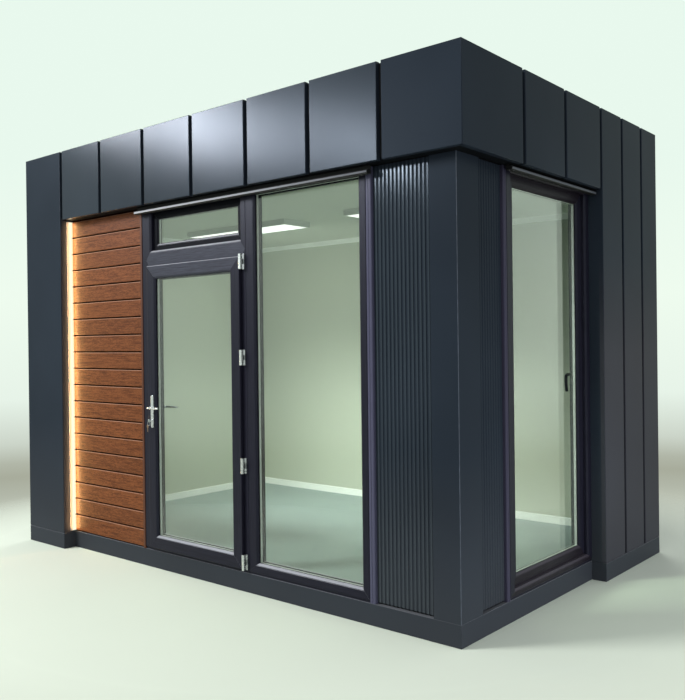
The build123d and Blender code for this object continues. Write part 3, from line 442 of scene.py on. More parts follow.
def onFront(u, d, z):
    return np.stack([u, frontPlane + d, z], axis=-1)


def onSide(u, d, z):
    return np.stack([sidePlane - d, u, z], axis=-1)


def squareOn(side, low, high):
    # a box as its side shows it: from and to across, from and to in depth, foot and top
    if side is onFront:
        return low[0], high[0], low[1] - frontPlane, high[1] - frontPlane, low[2], high[2]
    return low[1], high[1], sidePlane - high[0], sidePlane - low[0], low[2], high[2]


def member(side, upright, outline, start, end):
    # outline (n, 2) holds place across and depth; each point runs from its start to its end along the bar, so
    # that the bar's ends are cut to any line: square, mitred or pointed
    count = len(outline)
    across, depth = np.broadcast_to(outline.T[:, None], (2, 2, count))
    along = np.stack([np.broadcast_to(start, count), np.broadcast_to(end, count)])
    return loft(side(across, depth, along) if upright else side(along, depth, across))


def carriedUp(plan, z0, z1):
    # a plan outline at two levels
    return loft(np.stack([np.column_stack([plan, np.full(len(plan), z)]) for z in (z0, z1)]))


def blockShell(low, high):
    (x0, y0, z0), (x1, y1, z1) = low, high
    return carriedUp(np.array([(x0, y0), (x1, y0), (x1, y1), (x0, y1)], float), z0, z1)


def eased(corner, before, after, radius, steps=3):
    # a quarter turn in place of a square corner, which moves in along both edges by 1 - sin and 1 - cos
    corner = np.array(corner, float)
    turn = np.linspace(0, math.pi / 2, steps + 1)[:, None]
    toBefore, toAfter = np.array(before) - corner, np.array(after) - corner
    toBefore = toBefore / np.linalg.norm(toBefore)
    toAfter = toAfter / np.linalg.norm(toAfter)
    return corner + radius * (toBefore * (1 - np.sin(turn)) + toAfter * (1 - np.cos(turn)))


def mitredRing(side, box, widths, outlineOf, seam=0.0004):
    # four bars round an opening, each cut along the line from the outer corner to the inner one
    u0, u1, z0, z1 = box
    left, right, foot, head = widths
    bars = []
    for upright, edge, sign, width, low, high, atLow, atHigh in (
        (True, u0, 1, left, z0, z1, foot, head),
        (True, u1, -1, right, z0, z1, foot, head),
        (False, z0, 1, foot, u0, u1, left, right),
        (False, z1, -1, head, u0, u1, left, right),
    ):
        outline = outlineOf(width)
        inset = outline[:, 0]
        placed = np.column_stack([edge + sign * inset, outline[:, 1]])
        start = low + inset * atLow / width + seam
        bars.append(member(side, upright, placed, start, high - inset * atHigh / width - seam))
    return bars


def fullTurn(count):
    return np.linspace(0, 2 * math.pi, count, endpoint=False)


def roundBar(path, radii, guide, count=20):
    # rings of points along a path: place + a cos(turn) across + b sin(turn) upwards
    ahead = np.gradient(path, axis=0)
    ahead /= np.linalg.norm(ahead, axis=1, keepdims=True)
    across = np.cross(ahead, guide)
    across /= np.linalg.norm(across, axis=1, keepdims=True)
    above = np.cross(across, ahead)
    turn = fullTurn(count)[None, :, None]
    wide, tall = radii[:, 0, None, None], radii[:, 1, None, None]
    return loft(path[:, None] + wide * np.cos(turn) * across[:, None] + tall * np.sin(turn) * above[:, None])


def bentPath(corners, radius, steps):
    # straight runs with a quarter-round bend at each inner corner
    corners = np.array(corners, float)
    bends = [eased(b, a, c, radius, steps) for a, b, c in zip(corners, corners[1:], corners[2:])]
    return np.vstack([corners[:1]] + bends + [corners[-1:]])


def evenPath(path, count):
    # the same path with evenly spaced stations, and its length
    run = np.concatenate([[0], np.cumsum(np.linalg.norm(np.diff(path, axis=0), axis=1))])
    stations = np.linspace(0, run[-1], count)
    even = np.column_stack([np.interp(stations, run, path[:, axis]) for axis in range(3)])
    return even, np.linalg.norm(np.diff(even, axis=0), axis=1).sum()


def roundedEnd(count, wide, tall, endLength, length):
    # radii of a bar whose far end closes as a quarter ellipse
    toEnd = length - np.linspace(0, length, count)
    share = np.sqrt(np.clip(1 - (1 - np.clip(toEnd / endLength, 0, 1)) ** 2, 0.0, 1.0))
    return np.maximum(share, 0.05)[:, None] * (wide, tall)


def solidsOf(node):
    # low and high corners of each solid in a node: joined triangles share their corners' lowest number
    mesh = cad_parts[node].data
    points = np.empty(len(mesh.vertices) * 3)
    mesh.vertices.foreach_get("co", points)
    places, corner = np.unique(points.reshape(-1, 3).round(5), axis=0, return_inverse=True)
    loops = np.empty(len(mesh.loops), int)
    mesh.loops.foreach_get("vertex_index", loops)
    triangles = corner.ravel()[loops].reshape(-1, 3)
    label = np.arange(len(places))
    while True:
        fresh = label.copy()
        np.minimum.at(fresh, triangles.ravel(), np.repeat(fresh[triangles].min(axis=1), 3))
        if (fresh == label).all():
            break
        label = fresh
    solids = [places[label == mark] for mark in np.unique(label)]
    return [(solid.min(axis=0), solid.max(axis=0)) for solid in solids]


# Folded cladding
trayLook = {"radius": 0.0035, "depth": 0.030, "steps": 3, "seam": 0.0004, "near": 0.12, "narrow": 0.14,
            "atCorner": 0.002, "sheet": 0.002, "turnedBack": 0.040}
trayPlanes = {
    "front": lambda u, d, z: np.stack([u, podLow[1] + d, z], axis=-1),
    "back": lambda u, d, z: np.stack([u, podHigh[1] - d, z], axis=-1),
    "left": lambda u, d, z: np.stack([podLow[0] + d, u, z], axis=-1),
    "right": lambda u, d, z: np.stack([podHigh[0] - d, u, z], axis=-1),
}


def foldedTray(plane, box, mitreLow, mitreHigh, look):
    # loops of four corners: the face turns into its returns on a small radius, and a mitred end slants in
    u0, u1, z0, z1 = box
    u0, u1 = u0 + look["seam"] * mitreLow, u1 - look["seam"] * mitreHigh
    turn = np.linspace(0, math.pi / 2, look["steps"] + 1)
    inset = np.append(look["radius"] * (1 - np.sin(turn)), 0.0)
    depth = np.append(look["radius"] * (1 - np.cos(turn)), look["depth"])
    slantLow = inset + mitreLow * np.maximum(depth - look["radius"], 0)
    slantHigh = inset + mitreHigh * np.maximum(depth - look["radius"], 0)
    u = np.column_stack([u0 + slantLow, u1 - slantHigh, u1 - slantHigh, u0 + slantLow])
    z = np.column_stack([z0 + inset, z0 + inset, z1 - inset, z1 - inset])
    return loft(plane(u, np.repeat(depth[:, None], 4, axis=1), z))


def trayFacing(low, high, recessed, look):
    # the side that a tray covers, and the axis along it
    x, y = (low[:2] + high[:2]) / 2
    if high[0] - low[0] > look["narrow"]:
        if abs(y - podLow[1]) < look["near"]:
            return (onFront if recessed else trayPlanes["front"]), 0
        if abs(y - podHigh[1]) < look["near"]:
            return trayPlanes["back"], 0
    if abs(x - podLow[0]) < look["near"]:
        return trayPlanes["left"], 1
    return (onSide if recessed else trayPlanes["right"]), 1


def claddingRow(name, node, finish, recessed, look):
    shells, marks = [], []
    for low, high in solidsOf(node):
        plane, axis = trayFacing(low, high, recessed, look)
        cornerLow, cornerHigh = podLow[axis], podHigh[axis]
        if recessed:        # the plinth turns only one corner
            cornerLow, cornerHigh = (-math.inf, sidePlane) if axis == 0 else (frontPlane, math.inf)
        mitreLow = float(abs(low[axis] - cornerLow) < look["atCorner"])
        mitreHigh = float(abs(high[axis] - cornerHigh) < look["atCorner"])
        shells.append(foldedTray(plane, (low[axis], high[axis], low[2], high[2]), mitreLow, mitreHigh, look))
        marks.append(0 if finish == "fascia" and mitreHigh else 1)      # the corner panel stays dull
        if high[1 - axis] - low[1 - axis] > look["turnedBack"]:     # its sheet turns back beside a recess
            top = min(high[2], spanOf("soffit")[0][2])
            sheet = (((high[0] - look["sheet"], low[1] + look["depth"], low[2]), (high[0], high[1], top))
                     if axis == 0 else (low, (high[0] - look["depth"], low[1] + look["sheet"], top)))
            shells.append(blockShell(*sheet))
            marks.append(0)
    makePiece(name, shells, "pod", "cladding", "cladding", finish, marks=marks, smooth=50, replaced=node)


for pieceName, node, finish, recessed in (
    ("plinthTrays", "recessed_plinth", "cladding", True),
    ("footBandTrays", "base_band", "cladding", False),
    ("leftColumnTray", "left_column_panel", "cladding", False),
    ("frontFasciaTrays", "front_fascia_panels", "fascia", False),
    ("rightFasciaTrays", "right_fascia_panels", "cladding", False),
    ("rightRearTrays", "right_rear_panels", "rearLowLight", False),
    ("leftSideTrays", "left_side_panels", "cladding", False),
    ("backTrays", "back_panels", "cladding", False),
):
    claddingRow(pieceName, node, finish, recessed, trayLook)
print("cladding folded")


# Frames
memberLook = {"arris": 0.0025, "slope": 0.011, "slopeDepth": 0.009, "step": 0.0010, "bevel": 0.004,
              "stepAt": 0.003, "rebate": 0.012, "stopDepth": 0.056, "stopLap": 0.015, "depth": 0.075}


def glazedSection(width, front, lip, back, look):
    # from the outer edge at 0 to the glass at width: arris, face, fine step, slope, lip, rebate and back
    corner = eased((0.0, front), (0.0, back), (width, front), look["arris"])
    face, step = width - look["slope"], front + look["step"]
    rest = [(face - look["bevel"], front), (face - look["stepAt"], step), (face, step),
            (width, step + look["slopeDepth"]), (width, lip), (width - look["rebate"], lip),
            (width - look["rebate"], back), (0.0, back)]
    return np.vstack([corner, rest])


def doorSection(width, look, stop=True):
    # beside the door: a plain arris, then the stop that the leaf closes on
    back = look["depth"]
    outer = eased((0.0, 0.0), (0.0, back), (width, 0.0), look["arris"])
    inner = eased((width, 0.0), (0.0, 0.0), (width, back), look["arris"])
    lap = width + look["stopLap"]
    closing = [(width, look["stopDepth"]), (lap, look["stopDepth"]), (lap, back)] if stop else [(width, back)]
    return np.vstack([outer, inner, closing, [(0.0, back)]])


def withPoint(outline, across):
    # adds a point on the face and one on the back at the place where an end line changes direction
    face = np.flatnonzero((outline[:-1, 0] < across) & (outline[1:, 0] > across))[0]
    depth = np.interp(across, outline[face:face + 2, 0], outline[face:face + 2, 1])
    back = outline[-1, 1]
    return np.vstack([outline[:face + 1], [(across, depth)], outline[face + 1:-1], [(across, back)],
                      outline[-1:]])


screenLook = {"jamb": 0.097, "doorWidth": 0.932, "mullion": 0.135, "windowJamb": 0.055, "head": 0.060,
              "fanlight": 0.276, "transom": 0.127, "foot": 0.027, "windowFoot": 0.060, "meeting": 0.4120,
              "tip": 0.050, "fanLip": 0.028, "windowLip": 0.022, "seam": 0.0004}


def entranceScreen(look, sections):
    low, high = spanOf("entrance_frame")
    x0, x1, foot, top = low[0], high[0], low[2], high[2]
    doorX0 = x0 + look["jamb"]
    doorX1 = doorX0 + look["doorWidth"]
    windowX0, windowX1 = doorX1 + look["mullion"], x1 - look["windowJamb"]
    fanFoot = top - look["head"] - look["fanlight"]
    doorHead = fanFoot - look["transom"]
    middle, half = (fanFoot + doorHead) / 2, (fanFoot - doorHead) / 2
    centre, tip, seam, back = look["meeting"], look["tip"], look["seam"], sections["depth"]
    shells = []

    def lightSection(width, lip="fanLip"):
        return glazedSection(width, 0.0, look[lip], back, sections)

    def jamb(edge, sign, width):
        # the post beside door and fanlight in two lengths, notched for the pointed end of the transom, each
        # in two strips so that its notched end is two flat faces
        knee = width - tip
        for flat in (True, False):
            for section, way, reach in ((doorSection(width, sections), -1, look["foot"]),
                                        (lightSection(width), 1, look["head"])):
                section = withPoint(section, knee)
                inFlat = section[:, 0] <= knee + 1e-6
                strip = section[inFlat if flat else section[:, 0] >= knee - 1e-6]
                a = strip[:, 0]
                notch = middle + way * (np.maximum(a - knee, 0) * half / tip + seam)
                placed = np.column_stack([edge + sign * a, strip[:, 1]])
                cut = a * reach / width
                ends = (foot + cut, notch) if way < 0 else (notch, top - cut - seam)
                shells.append(member(onFront, True, placed, *ends))

    jamb(x0, 1, doorX0 - x0)
    jamb(centre - seam, -1, centre - seam - doorX1)

    # transom: its height runs from the door's head to the fanlight, with a face that turns up to both
    upper = lightSection(half)[4:-1] + (middle, 0)
    lower = doorSection(half, sections)[4:-1] * (-1, 1) + (middle, 0)
    section = np.vstack([[(middle, 0.0)], upper, [(middle, back)], lower[::-1]])
    reach = tip * (1 - np.abs(section[:, 0] - middle) / half)
    shells.append(member(onFront, False, section, doorX0 - reach + seam, doorX1 + reach - seam))

    for edge, sign, section in ((top, -1, lightSection(look["head"])),
                                (foot, 1, doorSection(look["foot"], sections, stop=False))):
        a = section[:, 0]
        width = look["head"] if sign < 0 else look["foot"]
        shells.append(member(onFront, False, np.column_stack([edge + sign * a, section[:, 1]]),
                             x0 + a * (doorX0 - x0) / width + seam,
                             centre - seam - a * (centre - doorX1) / width))
    shells += mitredRing(onFront, (centre + seam, x1, foot, top),
                         (windowX0 - centre, x1 - windowX1, look["windowFoot"], look["head"]),
                         lambda width: lightSection(width, "windowLip"), seam)
    # the transom is painted lighter for the light it catches; the bar over the door and the window's head bar
    # take the darker foil, painted shade under the soffit
    makePiece("entranceScreen", shells, "pod", "frame_foil", "foilUp", "foilAlong", "foilPaintedLight", "foilShade",
              marks=[0] * 8 + [2, 3, 1, 0, 0, 1, 3], smooth=30, replaced="entrance_frame")


entranceScreen(screenLook, memberLook)

leafLook = {"arris": 0.0050, "stile": 0.092, "face": -0.025, "flangeBack": -0.005, "bodyIn": 0.0245,
            "lip": -0.003, "back": 0.050}


def doorLeaf(look, sections):
    low, high = spanOf("door_leaf_frame")
    back, inner, flange = look["back"], look["bodyIn"], look["flangeBack"]

    def outlineOf(width):
        # flange, face, step and slope to the glass, rebate, body behind the flange
        glazed = glazedSection(width, look["face"], look["lip"], back, sections)[:-1]
        return np.vstack([glazed, [(inner, back), (inner, flange), (0.0, flange)]])

    bars = mitredRing(onFront, (low[0], high[0], low[2], high[2]), (look["stile"],) * 4, outlineOf)
    # the leaf's head bar is painted lighter for the light it catches
    makePiece("doorLeafRing", bars, "door", "frame_foil", "foilUp", "foilAlong", "foilPaintedLight",
              marks=[0, 0, 1, 2], smooth=30, replaced="door_leaf_frame")


doorLeaf(leafLook, dict(memberLook, arris=leafLook["arris"]))

# widths are those of the left, right, foot and head bars
# the fanlight sash takes the darker foil: painted shade under the soffit
fanlightLook = {"widths": (0.062,) * 4, "face": 0.028, "lip": 0.040, "back": 0.080, "up": "foilShade",
                "along": "foilShade"}
windowLook = {"widths": (0.060, 0.060, 0.038, 0.049), "face": 0.0, "lip": 0.028, "back": 0.075,
              "up": "foilUp", "along": "foilSide"}
sashLook = {"widths": (0.080,) * 4, "face": 0.028, "lip": 0.045, "back": 0.083, "up": "foilUp",
            "along": "foilSide"}


def plainRing(name, node, side, look, sections):
    u0, u1, _, _, z0, z1 = squareOn(side, *spanOf(node))
    bars = mitredRing(side, (u0, u1, z0, z1), look["widths"],
                      lambda width: glazedSection(width, look["face"], look["lip"], look["back"], sections))
    makePiece(name, bars, "pod", "frame_foil", look["up"], look["along"], marks=[0, 0, 1, 1], smooth=30,
              replaced=node)


plainRing("fanlightSashRing", "fanlight_sash", onFront, fanlightLook, memberLook)
plainRing("sideWindowRing", "side_window_frame", onSide, windowLook, memberLook)
plainRing("sideSashRing", "side_window_sash", onSide, sashLook, memberLook)
print("frames welded")


# The glazed units: two panes, a pale spacer bar between them and a dark seal on each side
unitLook = {"pane": 0.006, "edge": 0.003, "hidden": 0.009, "seal": 0.0025, "shows": 0.0010}


def glazedUnit(name, node, side, body, look):
    u0, u1, near, far, z0, z1 = squareOn(side, *spanOf(node))
    edge, pane, seal, hidden = look["edge"], look["pane"], look["seal"], look["hidden"]
    box = (u0 + edge, u1 - edge, z0 + edge, z1 - edge)

    def slab(front, back):
        outline = np.array([(box[0], front), (box[1], front), (box[1], back), (box[0], back)])
        return member(side, True, outline, box[2], box[3])

    def rim(front, back, reach):
        return mitredRing(side, box, (reach,) * 4,
                          lambda w: np.array([(0, front), (w, front), (w, back), (0, back)]), 0)

    spacer = rim(near + pane, far - pane, hidden + look["shows"])
    seals = rim(near - seal, near, hidden + seal) + rim(far, far + seal, hidden + seal)
    makePiece(name, [slab(near, near + pane), slab(far - pane, far)], body, "glazing", "pane", replaced=node)
    makePiece(name + "Spacer", spacer, body, "bright_metal", "spacer")
    makePiece(name + "Seals", seals, body, "frame_inside", "seal")


for pieceName, node, side, body in (
    ("frontWindowUnit", "front_window_glass", onFront, "pod"),
    ("fanlightUnit", "fanlight_glass", onFront, "pod"),
    ("doorUnit", "door_glass", onFront, "door"),
    ("sideWindowUnit", "side_window_glass", onSide, "pod"),
):
    glazedUnit(pieceName, node, side, body, unitLook)
print("glazed units made")


def boardedBay(look):
    # one outline a board, carried along the bay: eased arrises, and a gap above and below
    low, high = spanOf("timber_panel")
    face = low[1] - frontPlane
    back = face + look["thickness"]
    shells = []
    for number in range(look["boardCount"]):
        foot = look["lowest"] + look["pitch"] * number + look["gap"] / 2
        top = min(foot + look["pitch"] - look["gap"], high[2])
        bottomEdge = eased((foot, face), (foot, back), (top, face), look["arris"])
        topEdge = eased((top, face), (foot, face), (top, back), look["arris"])
        outline = np.vstack([bottomEdge, topEdge, [(top, back), (foot, back)]])
        shells.append(member(onFront, False, outline, low[0] + look["endLeft"], high[0] - look["endRight"]))
    marks = marked(outline, slice(4, 6))      # the upper arris, painted paler as a highlight
    makePiece("stainedBoardRow", shells, "pod", "boards", "boards", "boardArrisLight", marks=[marks] * len(shells),
              smooth=35, replaced="timber_panel")
    backing = blockShell((low[0], frontPlane + face + look["gapDepth"], low[2]), high)
    makePiece("boardBacking", [backing], "pod", "boards", "groove")


boardedBay(boardLook)

lightLineLook = {"lip": 0.0055, "wall": 0.0015, "flange": 0.004, "flangeThick": 0.001, "behind": 0.0005,
                 "clipGap": 0.003, "clipWide": 0.009, "clipHalf": 0.005, "clipFront": 0.008,
                 "clipBack": 0.004}


def lightLine(look):
    # a shallow channel on the column's return, and a diffuser whose face swells in an arc between its lips
    low, high = spanOf("led_profile")
    d0, d1 = low[1] - frontPlane, spanOf("timber_panel")[0][1] - frontPlane - look["behind"]
    x0, x1, lip, wall = low[0], high[0], look["lip"], look["wall"]
    channel = np.array([(x0, d0), (x0 + lip, d0), (x0 + lip, d0 + wall), (x0 + wall, d0 + wall),
                        (x0 + wall, d1 - wall), (x0 + lip, d1 - wall), (x0 + lip, d1), (x0, d1)])
    turn = np.linspace(0, math.pi, 11)
    reach = (d1 - d0) / 2 - wall
    bulge = np.column_stack([x0 + lip + (x1 - x0 - lip) * np.sin(turn), (d0 + d1) / 2 - reach * np.cos(turn)])
    bulge = np.vstack([bulge, [(x0 + wall, d1 - wall), (x0 + wall, d0 + wall)]])
    y = frontPlane + d1
    shells = [member(onFront, True, outline, low[2], high[2]) for outline in (channel, bulge)]
    shells.append(blockShell((x0 + lip, y - look["flangeThick"], low[2]), (x1 + look["flange"], y, high[2])))
    start = x1 + look["flange"] + look["clipGap"]
    for number in range(1, boardLook["boardCount"]):
        level = boardLook["lowest"] + boardLook["pitch"] * number
        shells.append(blockShell((start, y - look["clipFront"], level - look["clipHalf"]),
                                 (start + look["clipWide"], y + look["clipBack"], level + look["clipHalf"])))
    makePiece("warmLightProfile", shells, "pod", "light_line", "channel", "glow", "clip",
              marks=[0, 1, 1] + [2] * (len(shells) - 3), smooth=40, replaced="led_profile")


lightLine(lightLineLook)

dripLook = {"height": 0.024, "nose": 0.0065, "lip": 0.006, "noseLow": 0.004, "noseHigh": 0.0175,
            "easeIn": 0.0012, "easeUp": 0.002, "web": 0.003, "cap": 0.004}


def dripRail(name, node, side, finish, look):
    # a folded gutter: a rounded nose above a drip lip, a flat top, and a web at its back up to the soffit
    u0, u1, near, far, foot, z1 = squareOn(side, *spanOf(node))
    top, noseLow, noseHigh = foot + look["height"], foot + look["noseLow"], foot + look["noseHigh"]
    easeIn, easeUp, web, cap = look["easeIn"], look["easeUp"], far - look["web"], look["cap"]
    outline = np.array([(foot, near + look["lip"]), (noseLow, near + easeIn), (noseLow + easeUp, near),
                        (noseHigh - easeUp, near), (noseHigh, near + easeIn), (top, near + look["nose"]),
                        (top, web), (z1, web), (z1, far), (foot, far)])
    marks = marked(outline, slice(1, 4))      # the nose; every other face takes the black seal finish, painted shade
    shells = [member(side, False, outline, start, end)
              for start, end in ((u0 + cap, u1 - cap), (u0, u0 + cap), (u1 - cap, u1))]
    makePiece(name, shells, "pod", "bright_metal", "seal", finish, marks=[marks, 0, 0], smooth=40,
              replaced=node)


dripRail("frontDripRail", "front_drip_channel", onFront, "railPaintedFalloff", dripLook)
dripRail("sideDripRail", "side_drip_channel", onSide, "greySteel", dripLook)

cornerLook = {"arris": 0.0028, "thick": 0.025, "edge": 0.0025}


def cornerCover(look):
    # folded angle at the corner, drawn in plan and carried up
    (x0, y0, z0), (x1, y1, z1) = spanOf("corner_trim")
    inX, inY = x1 - look["thick"], y0 + look["thick"]
    plan = np.vstack([[(x0, inY)], eased((x0, y0), (x0, inY), (x1, y0), look["edge"]),
                      eased((x1, y0), (x0, y0), (x1, y1), look["arris"]),
                      eased((x1, y1), (x1, y0), (x0, y1), look["edge"]), [(inX, y1), (inX, inY)]])
    marks = marked(plan, slice(5, 8))      # the arris at the corner, painted lighter as a highlight
    makePiece("cornerCover", [carriedUp(plan, z0, z1)], "pod", "cladding", "cladding", "paintedEdgeLight",
              marks=[marks], smooth=40, replaced="corner_trim")


cornerCover(cornerLook)

ribLook = {"crest": 0.011, "root": 0.019, "pitch": 0.027, "rise": 0.0045, "steps": 5, "crestFinish": "crest"}
sideRibLook = dict(ribLook, rise=0.0030, crestFinish="cladding")


def ribbedSheet(name, node, side, look):
    # a plan line: each rib rises by a smooth step up its flank, stays level over the crest and falls again
    u0, u1, near, far, z0, z1 = squareOn(side, *spanOf(node))
    pitch, steps, root = look["pitch"], look["steps"], near + look["rise"]
    count = int((u1 - u0 - look["root"]) / pitch + 1e-6) + 1
    margin = (u1 - u0 - (count - 1) * pitch) / 2
    half, flat = look["root"] / 2, look["crest"] / 2
    places = np.concatenate([np.linspace(-half, -flat, steps), np.linspace(flat, half, steps)])
    u = (u0 + margin + pitch * np.arange(count)[:, None] + places[None, :]).ravel()
    up = np.clip((half - np.abs(places)) / (half - flat), 0, 1)
    d = np.tile(near + look["rise"] * (1 - up * up * (3 - 2 * up)), count)
    outline = np.vstack([[(u0, far), (u0, root)], np.column_stack([u, d]), [(u1, root), (u1, far)]])
    crests = 2 + 2 * steps * np.arange(count)
    marks = marked(outline, crests[:, None] + np.arange(steps - 2, steps + 1))
    makePiece(name, [member(side, True, outline, z0, z1)], "pod", "cladding", "cladding", look["crestFinish"],
              marks=[marks], smooth=40, replaced=node)


ribbedSheet("ribbedSheetFront", "ribbed_panel_front", onFront, ribLook)
ribbedSheet("ribbedSheetSide", "ribbed_panel_side", onSide, sideRibLook)

trimLook = {"arris": 0.006, "groove": 0.0025, "sideReach": 0.1}


def edgeTrims(look):
    # a flat cover strip with eased arrises and a groove down its middle, beside each window
    shells, marks = [], []
    for low, high in solidsOf("window_edge_trims"):
        side = onFront if high[0] < sidePlane - look["sideReach"] else onSide
        u0, u1, near, far, z0, z1 = squareOn(side, low, high)
        middle, groove = (u0 + u1) / 2, look["groove"]
        left = eased((u0, near), (u0, far), (u1, near), look["arris"])
        right = eased((u1, near), (u0, near), (u1, far), look["arris"])
        line = [(middle - groove, near), (middle, near + groove), (middle + groove, near)]
        outline = np.vstack([left, line, right, [(u1, far), (u0, far)]])
        shells.append(member(side, True, outline, z0, z1))
        # the side strips take the darker copy, painted shade
        marks.append(0 if side is onFront else 1)
    makePiece("windowEdgeStrips", shells, "pod", "frame_foil", "edgeTrim", "edgeTrimShaded", marks=marks,
              smooth=35, replaced="window_edge_trims")


edgeTrims(trimLook)
print("boards, light line and edge strips made")


# Door furniture
upwards = (0.0, 0.0, 1.0)


def roundEndedPlate(side, u, z0, z1, near, far, width, radius, steps=10):
    # a stadium outline whose face eases into its edge: the loops shrink by 1 - sin as they come forward
    turn = np.linspace(0, math.pi / 2, 5)
    half = width / 2 - np.append(radius * (1 - np.sin(turn)), 0.0)[:, None]
    depth = np.append(near + np.sign(far - near) * radius * (1 - np.cos(turn)), far)[:, None]
    upper = np.linspace(0, math.pi, steps)
    turns = np.concatenate([upper, upper + math.pi])
    level = np.repeat([z1 - width / 2, z0 + width / 2], steps)
    depth = np.repeat(depth, 2 * steps, axis=1)
    return loft(side(u + half * np.cos(turns), depth, level + half * np.sin(turns)))


def turnedDisc(x, leaf, out, z, look):
    # stands out from the leaf, with a chamfer round its face
    path = np.array([(x, leaf + out * rise, z) for rise in look["rises"]])
    radii = np.array([look["radius"], look["radius"], look["radius"] - look["chamfer"]])
    return roundBar(path, np.column_stack([radii, radii]), upwards, look["sides"])


furnitureLook = {
    "face": 0.025, "back": 0.050, "plateWidth": 0.028, "plateThick": 0.009, "easing": 0.003,
    "lockBelow": 0.092, "screwIn": 0.012,
    "rose": {"radius": 0.0125, "chamfer": 0.0010, "rises": (0.0080, 0.0145, 0.0155), "sides": 28},
    "lock": {"radius": 0.0085, "chamfer": 0.0008, "rises": (0.0060, 0.0142, 0.0150), "sides": 24},
    "screw": {"radius": 0.0038, "chamfer": 0.0008, "rises": (0.0080, 0.0098, 0.0102), "sides": 14},
    "neck": 0.0085, "neckShare": 0.12, "gripWide": 0.0085, "gripTall": 0.0070, "gripEnd": 0.010,
    "armHalf": 0.009, "bend": 0.013, "stations": 60, "spindle": 0.0045, "spindleIn": 0.002,
}


def doorFurniture(look):
    plateLow, plateHigh = spanOf("handle_plates")
    leverLow, leverHigh = spanOf("door_lever")
    x, z = (plateLow[0] + plateHigh[0]) / 2, (leverLow[2] + leverHigh[2]) / 2
    lockZ = z - look["lockBelow"]
    outerFace, innerFace = frontPlane - look["face"], frontPlane + look["back"]
    shells = []
    for leaf, out in ((outerFace, -1), (innerFace, 1)):
        near, far = leaf + out * look["plateThick"] - frontPlane, leaf - frontPlane
        shells.append(roundEndedPlate(onFront, x, plateLow[2], plateHigh[2], near, far, look["plateWidth"],
                                      look["easing"]))
        for part, level in (("rose", z), ("lock", lockZ), ("screw", plateLow[2] + look["screwIn"]),
                            ("screw", plateHigh[2] - look["screwIn"])):
            shells.append(turnedDisc(x, leaf, out, level, look[part]))
    makePiece("doorBackPlates", shells, "door", "bright_metal", "steel", smooth=40, replaced="handle_plates")

    # each arm leaves the leaf on a round neck, bends and runs along to the same side
    arms, stations, half = [], look["stations"], look["armHalf"]
    for leaf, reach in ((outerFace, leverLow[1] + half), (innerFace, leverHigh[1] - half)):
        bent = bentPath([(x, leaf, z), (x, reach, z), (leverHigh[0], reach, z)], look["bend"], 10)
        path, length = evenPath(bent, stations)
        radii = roundedEnd(stations, look["gripWide"], look["gripTall"], look["gripEnd"], length)
        inNeck = np.linspace(0, 1, stations)[:, None] < look["neckShare"]
        arms.append(roundBar(path, np.where(inNeck, look["neck"], radii), upwards))
    spindle = np.array([(x, outerFace - look["spindleIn"], z), (x, innerFace + look["spindleIn"], z)])
    arms.append(roundBar(spindle, np.full((2, 2), look["spindle"]), upwards, 12))
    makePiece("doorLeverBars", arms, "lever", "bright_metal", "steel", smooth=40, replaced="door_lever")
    return x, outerFace, lockZ


keyLook = {"bowOut": 0.024, "bladeOut": 0.014, "bladeHalf": 0.001, "bladeTall": 0.004,
           "bowPast": 0.008, "bowHalf": 0.0011, "bowDeep": 0.010, "bowTall": 0.011,
           "ring": 0.013, "wire": 0.0010, "ringBelow": 0.019, "hangOut": 0.012, "hangLeft": 0.013,
           "shankHalf": 0.003, "shankThick": 0.001, "shankLow": 0.078, "shankHigh": 0.045,
           "headWidth": 0.019, "headThick": 0.0015, "headEasing": 0.001, "headLow": 0.050, "headHigh": 0.026}


def doorKeys(x, leaf, z, look):
    # a key in the lock, with a ring and a second key that hang from it
    bowY = leaf - look["bowOut"]
    blade = blockShell((x - look["bladeHalf"], bowY, z - look["bladeTall"]),
                       (x + look["bladeHalf"], leaf - look["bladeOut"], z + look["bladeTall"]))
    turn = fullTurn(24)
    bowLine = (bowY - look["bowPast"] + look["bowDeep"] * np.cos(turn), z + look["bowTall"] * np.sin(turn))
    bow = loft(np.stack([np.column_stack([np.full(24, x + half), *bowLine])
                         for half in (-look["bowHalf"], look["bowHalf"])]))

    # the ring: reach = ring + wire cos(tube), turned round its middle
    hangY, shape = bowY - look["hangOut"], (32, 8)
    around, tube = fullTurn(shape[0])[:, None], fullTurn(shape[1])
    reach = look["ring"] + look["wire"] * np.cos(tube)
    places = (x + reach * np.cos(around), np.broadcast_to(hangY + look["wire"] * np.sin(tube), shape),
              z - look["ringBelow"] + reach * np.sin(around))
    here = np.arange(shape[0] * shape[1]).reshape(shape)
    below = np.roll(here, -1, axis=0)
    quads = np.stack([here, np.roll(here, -1, axis=1), np.roll(below, -1, axis=1), below], axis=-1)
    ring = (np.stack(places, axis=-1).reshape(-1, 3), quads.reshape(-1, 4).tolist())

    hangX = x - look["hangLeft"]
    shank = blockShell((hangX - look["shankHalf"], hangY - look["shankThick"], z - look["shankLow"]),
                       (hangX + look["shankHalf"], hangY + look["shankThick"], z - look["shankHigh"]))
    depth, thick = hangY - frontPlane, look["headThick"]
    head = roundEndedPlate(onFront, hangX, z - look["headLow"], z - look["headHigh"], depth - thick,
                           depth + thick, look["headWidth"], look["headEasing"])
    makePiece("doorKeys", [blade, bow, ring, shank, head], "door", "bright_metal", "steel", "brass",
              marks=[0, 0, 0, 1, 1], smooth=40)


lockX, lockLeaf, lockLevel = doorFurniture(furnitureLook)
doorKeys(lockX, lockLeaf, lockLevel, keyLook)

